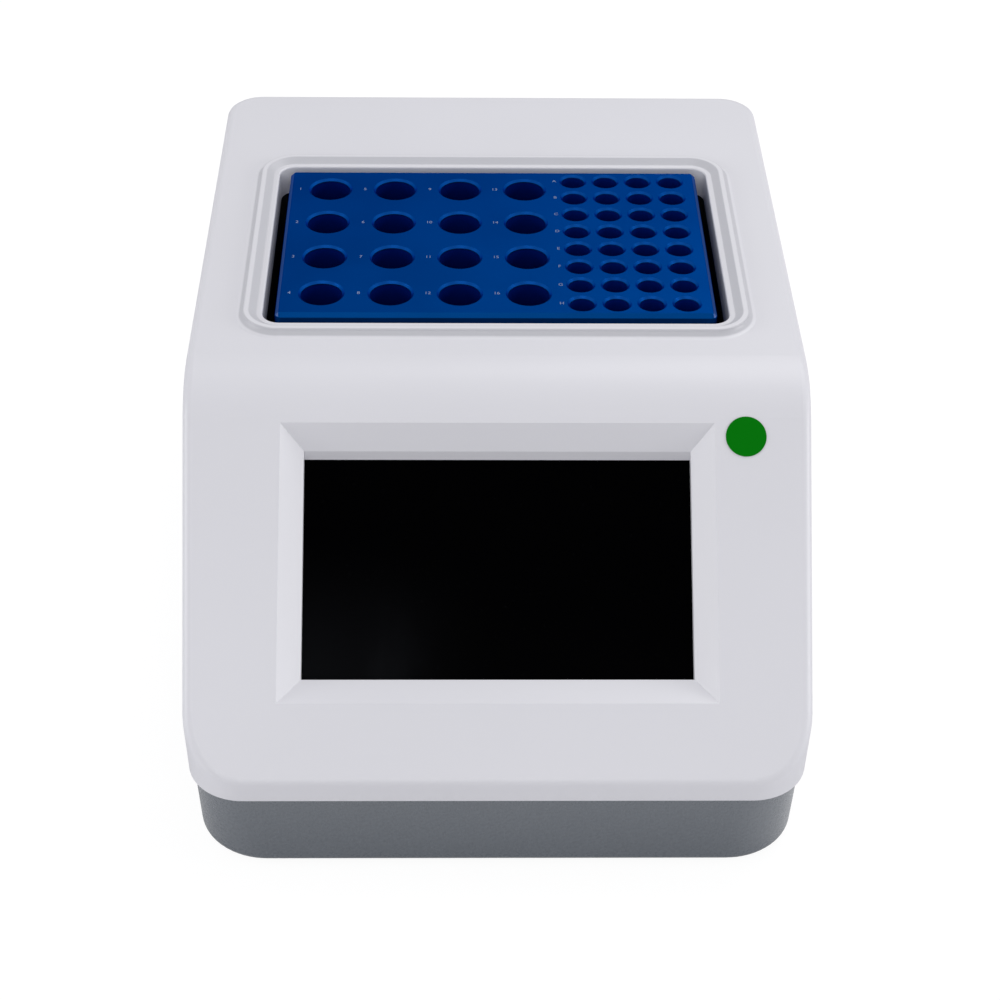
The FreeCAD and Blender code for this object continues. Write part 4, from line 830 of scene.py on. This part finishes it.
class PieceTree(NodeWork):
    """A Geometry Nodes tree that makes one piece from named inputs."""

    def __init__(self, name: str, inputs: dict[InputKind, tuple[str, ...]]) -> None:
        """Start the tree.

        Args:
            name: the piece's name.
            inputs: names of the inputs of each kind; a material is always among them.
        """
        super().__init__(bpy.data.node_groups.new(name + "_tree", "GeometryNodeTree"))
        self.name = name
        face = self.tree.interface
        kinds = {InputKind.GEOMETRY: ("Geometry",), **inputs, InputKind.MATERIAL: ("Material",)}
        for kind, labels in kinds.items():
            for label in labels:
                face.new_socket(label, in_out="INPUT", socket_type=kind.value)
        face.new_socket("Geometry", in_out="OUTPUT", socket_type=InputKind.GEOMETRY.value)
        self.given = self.node("NodeGroupInput").outputs

    def value(self, label: str) -> Value:
        """One of the tree's inputs as a number to reckon with."""
        return Value(self, self.given[label])

    def vector(self, *parts: Value | bpy.types.NodeSocket) -> bpy.types.NodeSocket:
        """Vector of parts for x, y and z."""
        return self.node("ShaderNodeCombineXYZ", None, dict(enumerate(parts))).outputs[0]

    def close(self, geometry: bpy.types.NodeSocket) -> None:
        """Make the geometry real, give it the material and put it out.

        Args:
            geometry: the piece's geometry.
        """
        real = self.node("GeometryNodeRealizeInstances", None, {0: geometry}).outputs[0]
        dressed = self.node("GeometryNodeSetMaterial", None,
                            {"Geometry": real, "Material": self.given["Material"]}).outputs[0]
        self.node("NodeGroupOutput", None, {"Geometry": dressed})

    def piece(self, sizes: dict[str, Any], body: str, slot: str) -> bpy.types.Object:
        """Evaluate the tree into a plain mesh that rides on a body.

        Args:
            sizes: input name to its value.
            body: CAD body that it moves with.
            slot: the record's material slot; not used.

        Returns:
            The finished piece.
        """
        holder = add(self.name + "_holder", bpy.data.meshes.new(self.name + "_empty"))
        modifier = holder.modifiers.new(self.name, "NODES")
        modifier.node_group = self.tree
        for item in self.tree.interface.items_tree:
            if item.in_out == "INPUT" and item.name in sizes:
                modifier[item.identifier] = sizes[item.name]
        bpy.context.view_layer.update()
        seen = holder.evaluated_get(bpy.context.evaluated_depsgraph_get())
        mesh = bpy.data.meshes.new_from_object(seen)
        bpy.data.objects.remove(holder)
        piece = add(self.name, mesh)
        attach(piece, body)
        return piece


class LabelKind(Enum):
    """What the marks beside the wells say."""

    NUMBERS = "numbers"
    LETTERS = "letters"


@dataclass
class LabelGrid:
    """Marks engraved beside a grid of wells, made by one Geometry Nodes tree.

    Each row has as many marks as there are columns here, and beside is how far they stand to the
    left of their wells' middle.
    """

    name: str
    kind: LabelKind
    spec: WellSpec
    columns: int
    beside: float
    letter_height: float = 1.7 * MM
    thickness: float = 0.03 * MM
    alphabet: str = "ABCDEFGH"

    def _word(self, tree: PieceTree, step: Value) -> bpy.types.NodeSocket:
        """Spell one mark.

        Args:
            tree: the tree that it goes into.
            step: the mark's place in the order, from 0.

        Returns:
            The string's socket.
        """
        if self.kind is LabelKind.NUMBERS:
            word = tree.node("FunctionNodeValueToString", None, {"Value": step + 1.0})
        else:
            word = tree.node("FunctionNodeSliceString", None,
                             {"String": self.alphabet, "Position": step, "Length": 1})
        return word.outputs[0]

    def _glyphs(self, tree: PieceTree, word: bpy.types.NodeSocket) -> bpy.types.NodeSocket:
        """Turn a string into flat filled figures.

        Args:
            tree: the tree that they go into.
            word: the string's socket.

        Returns:
            The figures' geometry, centred on the origin.
        """
        outline = tree.node("GeometryNodeStringToCurves", {"align_x": "CENTER", "align_y": "MIDDLE"},
                            {"String": word, "Size": tree.given["Height"]}).outputs[0]
        plain = tree.node("GeometryNodeRealizeInstances", None, {0: outline}).outputs[0]
        return tree.node("GeometryNodeFillCurve", None, {0: plain}).outputs[0]

    def tree(self) -> PieceTree:
        """Build the tree: a repeat zone sets one mark for each well or row.

        Returns:
            The tree with named inputs for its sizes.
        """
        tree = PieceTree(self.name, {
            InputKind.NUMBER: ("Pitch", "First X", "First Y", "Top Z", "Height", "Thickness"),
            InputKind.COUNT: ("Rows", "Marks"),
        })
        start = tree.node("GeometryNodeRepeatInput")
        end = tree.node("GeometryNodeRepeatOutput")
        start.pair_with_output(end)
        tree.link(tree.given["Marks"], start.inputs["Iterations"])
        step = Value(tree, start.outputs["Iteration"])
        rows, pitch = tree.value("Rows"), tree.value("Pitch")
        column = (step / rows).floor()
        row = step - column * rows
        across = tree.value("First X") + column * pitch
        along = tree.value("First Y") - row * pitch
        spot = tree.vector(across, along, tree.given["Top Z"])
        figures = self._glyphs(tree, self._word(tree, step))
        placed = tree.node("GeometryNodeTransform", None,
                           {"Geometry": figures, "Translation": spot}).outputs[0]
        joined = tree.node("GeometryNodeJoinGeometry")
        tree.link(placed, joined.inputs[0])
        tree.link(start.outputs["Geometry"], joined.inputs[0])
        tree.link(joined.outputs[0], end.inputs["Geometry"])
        raised = tree.node("GeometryNodeExtrudeMesh", {"mode": "FACES"},
                           {"Mesh": end.outputs["Geometry"], "Offset Scale": tree.given["Thickness"],
                            "Individual": False})
        tree.close(raised.outputs[0])
        return tree

    def build(self, material: bpy.types.Material) -> bpy.types.Object:
        """Make the marks as a plain mesh that rides on the block.

        Args:
            material: what they are finished in.

        Returns:
            The marks.
        """
        low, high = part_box("heating_block")
        pitch, rows = self.spec.pitch, self.spec.rows
        sizes = {
            "Pitch": pitch,
            "First X": self.spec.centre - pitch * (self.spec.columns - 1) / 2 - self.beside,
            "First Y": (low.y + high.y) / 2 + pitch * (rows - 1) / 2,
            "Top Z": high.z, "Height": self.letter_height, "Thickness": self.thickness,
            "Rows": rows, "Marks": rows * self.columns, "Material": material,
        }
        return self.tree().piece(sizes, "block", "bare_aluminium")


@dataclass
class BoardParts:
    """Small surface-mounted parts strewn over a free strip of a board by one Geometry Nodes tree.

    Each part is a body with a cap across it, whose sides are shares of the body's.
    """

    name: str
    board: str
    middle: Span
    span: Span
    columns: int
    rows: int
    seed: int
    part: Triple = (2.0 * MM, 1.2 * MM, 0.6 * MM)
    cap: Triple = (1.3, 0.8, 0.7)
    filled: float = 0.6
    lift: float = 0.48

    def _part(self, tree: PieceTree) -> bpy.types.NodeSocket:
        """Model one part.

        Args:
            tree: the tree that it goes into.

        Returns:
            The part's geometry, centred on the origin.
        """
        sides = ("Part X", "Part Y", "Part Z")
        body = tree.vector(*(tree.given[side] for side in sides))
        cap = tree.vector(*(tree.value(side) * share for side, share in zip(sides, self.cap)))
        joined = tree.node("GeometryNodeJoinGeometry")
        for size in (body, cap):
            cube = tree.node("GeometryNodeMeshCube", None, {"Size": size}).outputs["Mesh"]
            tree.link(cube, joined.inputs[0])
        return joined.outputs[0]

    def tree(self) -> PieceTree:
        """Build the tree: a grid's points, thinned by a fixed seed, each carry one small part.

        Returns:
            The tree with named inputs for its sizes.
        """
        tree = PieceTree(self.name, {
            InputKind.NUMBER: ("Span X", "Span Y", "Part X", "Part Y", "Part Z", "Filled"),
            InputKind.COUNT: ("Columns", "Rows", "Seed"),
            InputKind.PLACE: ("Middle",),
        })
        given = tree.given
        grid = tree.node("GeometryNodeMeshGrid", None,
                         {"Size X": given["Span X"], "Size Y": given["Span Y"],
                          "Vertices X": given["Columns"], "Vertices Y": given["Rows"]}).outputs["Mesh"]
        chosen = tree.node("FunctionNodeRandomValue", {"data_type": "BOOLEAN"},
                           {"Probability": given["Filled"], "Seed": given["Seed"]})
        with_mouth_highlight = tree.node("FunctionNodeRandomValue", {"data_type": "INT"},
                           {RandomSocket.LOWEST: 0, RandomSocket.HIGHEST: 1, "Seed": given["Seed"]})
        quarter = Value(tree, with_mouth_highlight.outputs[RandomSocket.WHOLE]) * (math.pi / 2)
        turn = tree.node("ShaderNodeCombineXYZ", None, {"Z": quarter}).outputs[0]
        placed = tree.node("GeometryNodeInstanceOnPoints", None,
                           {"Points": grid, "Selection": chosen.outputs[RandomSocket.CHOICE],
                            "Instance": self._part(tree), "Rotation": turn}).outputs[0]
        moved = tree.node("GeometryNodeTransform", None,
                          {"Geometry": placed, "Translation": given["Middle"]})
        tree.close(moved.outputs[0])
        return tree

    def build(self, material: bpy.types.Material) -> bpy.types.Object:
        """Make the parts as a plain mesh that rides on the case.

        Args:
            material: what they are finished in.

        Returns:
            The parts.
        """
        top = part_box(self.board)[1].z
        sizes = {
            "Span X": self.span[0], "Span Y": self.span[1],
            "Part X": self.part[0], "Part Y": self.part[1], "Part Z": self.part[2],
            "Filled": self.filled, "Columns": self.columns, "Rows": self.rows, "Seed": self.seed,
            "Middle": Vector((*self.middle, top + self.part[2] * self.lift)), "Material": material,
        }
        return self.tree().piece(sizes, "case", "black_plastic")


# Sub-assemblies

class Palette:
    """Materials of the record's slots, each built once."""

    def __init__(self) -> None:
        """Start with no material."""
        self._made: dict[str, bpy.types.Material] = {}

    def material(self, slot: str) -> bpy.types.Material:
        """Find the material of a slot, and build it at its first use.

        Args:
            slot: the record's material slot.

        Returns:
            The slot's material.
        """
        if slot not in self._made:
            self._made[slot] = FINISHES[slot].material()
        return self._made[slot]


@dataclass
class Assembly:
    """A sub-assembly: the CAD nodes that it dresses and the pieces that it adds."""

    palette: Palette
    nodes: tuple[str, ...] = ()

    def dress(self) -> None:
        """Give every CAD node of the sub-assembly the finish that its record slot names."""
        slots = {entry["node"]: entry["material_slot"] for entry in frame["record"]["subparts"]}
        for node in self.nodes:
            self._wear(frame["nodes"][node], self.palette.material(slots[node]))
            log.info("dressed %s in %s", node, slots[node])

    def build(self) -> list[bpy.types.Object]:
        """Add the sub-assembly's own pieces; the plain one has none."""
        return []

    @staticmethod
    def _wear(item: bpy.types.Object, material: bpy.types.Material) -> None:
        """Put one material in every slot of a CAD node.

        Args:
            item: the node's object.
            material: what it is finished in.
        """
        if not item.material_slots:
            item.data.materials.append(material)
        for slot in item.material_slots:
            slot.material = material


@dataclass
class Cover(Assembly):
    """White moulding with its rim, recess, vents and inlet cut-out."""

    nodes: tuple[str, ...] = ("top_cover", "case_inserts", "bay_liner")


@dataclass
class Tray(Assembly):
    """Grey tray with its feet and the screws that hold the case together."""

    nodes: tuple[str, ...] = ("base_tray", "rubber_feet", "foot_screws", "case_screws")


@dataclass
class DisplayUnit(Assembly):
    """Touch glass, screen module and board behind the sloped panel, and the dot beside them."""

    nodes: tuple[str, ...] = ("display_gasket", "touch_glass", "lcd_panel", "display_board",
                              "display_screws", "green_sticker")


@dataclass
class HeatingBlock(Assembly):
    """The lift-out block and the marks beside its wells."""

    nodes: tuple[str, ...] = ("heating_block",)
    number_gap: float = 8.3 * MM
    letter_gap: float = 5.2 * MM
    engraving: Moulded = Moulded("engraved mark", (0.22, 0.28, 0.46), roughness=0.6, grain=0.2 * MM,
                                 relief=0.003 * MM, mottle=0.2)

    def build(self) -> list[bpy.types.Object]:
        """Number the large wells and letter the rows of the small ones.

        Returns:
            The numbers and the letters.
        """
        pale = self.engraving.material()
        tube, strip = WellGrid.TUBE.value, WellGrid.STRIP.value
        marks = (
            LabelGrid("well_numbers", LabelKind.NUMBERS, tube, tube.columns, self.number_gap),
            LabelGrid("row_letters", LabelKind.LETTERS, strip, 1, self.letter_gap),
        )
        return [grid.build(pale) for grid in marks]


@dataclass
class HeaterStack(Assembly):
    """Plate, film heater, insulation and the carrier on its posts."""

    nodes: tuple[str, ...] = ("heater_plate", "locating_pins", "temperature_sensor", "heater_mat",
                              "insulation_pad", "plate_spacers", "plate_screws", "carrier_plate",
                              "thermal_cutout", "carrier_posts", "carrier_screws")


@dataclass
class ControlUnit(Assembly):
    """Control board with its large parts and a field of small ones."""

    nodes: tuple[str, ...] = ("control_board", "board_posts", "board_screws", "heater_relay",
                              "screw_terminals", "buzzer", "control_chip", "board_capacitors")
    field: Span = (22 * MM, 26 * MM)
    inset: Span = (20 * MM, 17 * MM)
    columns: int = 6
    rows: int = 8
    seed: int = 7

    def build(self) -> list[bpy.types.Object]:
        """Strew small parts over the board's free front left field.

        Returns:
            The small parts, as one piece.
        """
        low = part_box("control_board")[0]
        middle = (low.x + self.inset[0], low.y + self.inset[1])
        parts = BoardParts("control_small_parts", "control_board", middle, self.field,
                           self.columns, self.rows, self.seed)
        return [parts.build(self.palette.material("black_plastic"))]


@dataclass
class PowerSupply(Assembly):
    """Supply board, its large parts and its chassis."""

    nodes: tuple[str, ...] = ("supply_chassis", "supply_screws", "supply_board", "supply_transformer",
                              "supply_capacitors", "supply_heatsinks")
    strip: Span = (70 * MM, 6 * MM)
    inset: float = 6 * MM
    columns: int = 15
    rows: int = 3
    seed: int = 11

    def build(self) -> list[bpy.types.Object]:
        """Strew small parts along the board's rear edge.

        Returns:
            The small parts, as one piece.
        """
        low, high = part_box("supply_board")
        middle = ((low.x + high.x) / 2, high.y - self.inset)
        parts = BoardParts("supply_small_parts", "supply_board", middle, self.strip,
                           self.columns, self.rows, self.seed)
        return [parts.build(self.palette.material("black_plastic"))]


@dataclass
class InletModule(Assembly):
    """Mains socket, fuse drawer and rocker switch in one housing."""

    nodes: tuple[str, ...] = ("inlet_housing", "inlet_pins", "fuse_drawer", "mains_fuses",
                              "power_rocker", "rocker_pin")


@dataclass
class CoolingFan(Assembly):
    """Axial fan behind the vents."""

    nodes: tuple[str, ...] = ("fan_frame", "fan_rotor", "fan_screws")


ASSEMBLIES = (Cover, Tray, DisplayUnit, HeatingBlock, HeaterStack, ControlUnit, PowerSupply, InletModule,
              CoolingFan)


# Studio

@dataclass(frozen=True)
class Camera:
    """The photograph's camera, solved from the wells' grid and the body's edges.

    Its place, lens and sensor are in millimetres, its angles in degrees, its clip range in metres.
    """

    place: Triple = (-9.417, -499.83, 411.204)
    pitch: float = 37.453
    yaw: float = 1.295
    roll: float = 0.854
    lens: float = 81.87
    sensor: float = 36.0
    clip: Span = (0.01, 20.0)

    def build(self) -> None:
        """Create the camera and make it the scene's."""
        data = bpy.data.cameras.new("photo_camera")
        data.lens = self.lens
        data.sensor_width = self.sensor
        data.clip_start, data.clip_end = self.clip
        camera = add("photo_camera", data)
        pitch, yaw, roll = (math.radians(a) for a in (self.pitch, self.yaw, self.roll))
        forward = Vector((math.sin(yaw) * math.cos(pitch), math.cos(yaw) * math.cos(pitch),
                          -math.sin(pitch)))
        right = Vector((math.cos(yaw), -math.sin(yaw), 0.0))
        up = right.cross(forward)
        turned_right = math.cos(roll) * right + math.sin(roll) * up
        turned_up = -math.sin(roll) * right + math.cos(roll) * up
        turn = Matrix((turned_right, turned_up, -forward)).transposed()
        camera.matrix_world = Matrix.Translation(Vector(self.place) * MM) @ turn.to_4x4()
        bpy.context.scene.camera = camera


@dataclass(frozen=True)
class Lamp:
    """A square soft lamp that faces the object; metres and watts."""

    name: str
    place: Triple
    power: float
    size: float
    aim: Triple = (0.0, 0.0, 0.05)

    def build(self) -> None:
        """Create the lamp."""
        data = bpy.data.lights.new(self.name, "AREA")
        data.energy = self.power
        data.size = self.size
        place = Vector(self.place)
        turn = (Vector(self.aim) - place).to_track_quat("-Z", "Y")
        add(self.name, data).matrix_world = Matrix.Translation(place) @ turn.to_matrix().to_4x4()


@dataclass(frozen=True)
class Studio:
    """Pale floor, soft light and white surroundings."""

    lamps: tuple[Lamp, ...] = (
        Lamp("key_lamp", (0.5, 0.7, 1.3), power=7.4, size=1.0),
        Lamp("front_lamp", (-0.2, -1.35, 0.95), power=5.0, size=1.2),
        Lamp("left_lamp", (-0.95, -0.15, 0.36), power=2.2, size=0.4),
        Lamp("right_lamp", (0.95, -0.15, 0.36), power=2.3, size=0.4),
    )
    white: Colour = (1.0, 1.0, 1.0)
    sky: float = 0.54
    sky_colour: Colour = (0.97, 0.975, 1.0)
    floor_reach: float = 6.0
    floor_colour: Colour = (0.76, 0.76, 0.77)
    floor_white: float = 0.86
    floor_glow: float = 1.08

    def build(self) -> None:
        """Build the world, the floor and the lamps."""
        self._world()
        self._floor()
        for lamp in self.lamps:
            lamp.build()

    @staticmethod
    def _to_camera(work: NodeWork) -> Value:
        """1 where the camera itself looks."""
        return Value(work, work.node("ShaderNodeLightPath").outputs["Is Camera Ray"])

    def _world(self) -> None:
        """White to the camera, plain soft light to the object."""
        world = bpy.data.worlds.new("studio_world")
        world.use_nodes = True
        bpy.context.scene.world = world
        work = NodeWork(world.node_tree)
        work.tree.nodes.clear()
        seen = self._to_camera(work)
        light = work.node("ShaderNodeBackground", None,
                          {"Color": opaque(self.sky_colour), "Strength": self.sky})
        white = work.node("ShaderNodeBackground", None, {"Color": opaque(self.white), "Strength": 1.0})
        mixed = work.node("ShaderNodeMixShader", None,
                          {0: seen, 1: light.outputs[0], 2: white.outputs[0]})
        work.node("ShaderNodeOutputWorld", None, {"Surface": mixed.outputs[0]})

    def _floor(self) -> None:
        """A wide floor that looks white and keeps the object's shadow."""
        reach = self.floor_reach
        mesh = bpy.data.meshes.new("studio_floor")
        corners = [(-reach, -reach, 0.0), (reach, -reach, 0.0), (reach, reach, 0.0), (-reach, reach, 0.0)]
        mesh.from_pydata(corners, [], [(0, 1, 2, 3)])
        floor = add("studio_floor", mesh)
        surface = Surface("studio floor")
        seen = self._to_camera(surface) * self.floor_white
        matte = surface.node("ShaderNodeBsdfDiffuse", None, {"Color": opaque(self.floor_colour)})
        glow = surface.node("ShaderNodeEmission", None,
                            {"Color": opaque(self.white), "Strength": self.floor_glow})
        mixed = surface.node("ShaderNodeMixShader", None,
                             {0: seen, 1: matte.outputs[0], 2: glow.outputs[0]})
        surface.node("ShaderNodeOutputMaterial", None, {"Surface": mixed.outputs[0]})
        mesh.materials.append(surface.material)


def main() -> None:
    """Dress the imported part, add its fine pieces and set up the studio."""
    logging.basicConfig(level=logging.INFO, format="%(message)s")
    bpy.context.scene.view_settings.view_transform = "Standard"
    palette = Palette()
    for kind in ASSEMBLIES:
        assembly = kind(palette)
        assembly.dress()
        for piece in assembly.build():
            log.info("built %s", piece.name)
    Camera().build()
    Studio().build()


if __name__ == "__main__":
    main()
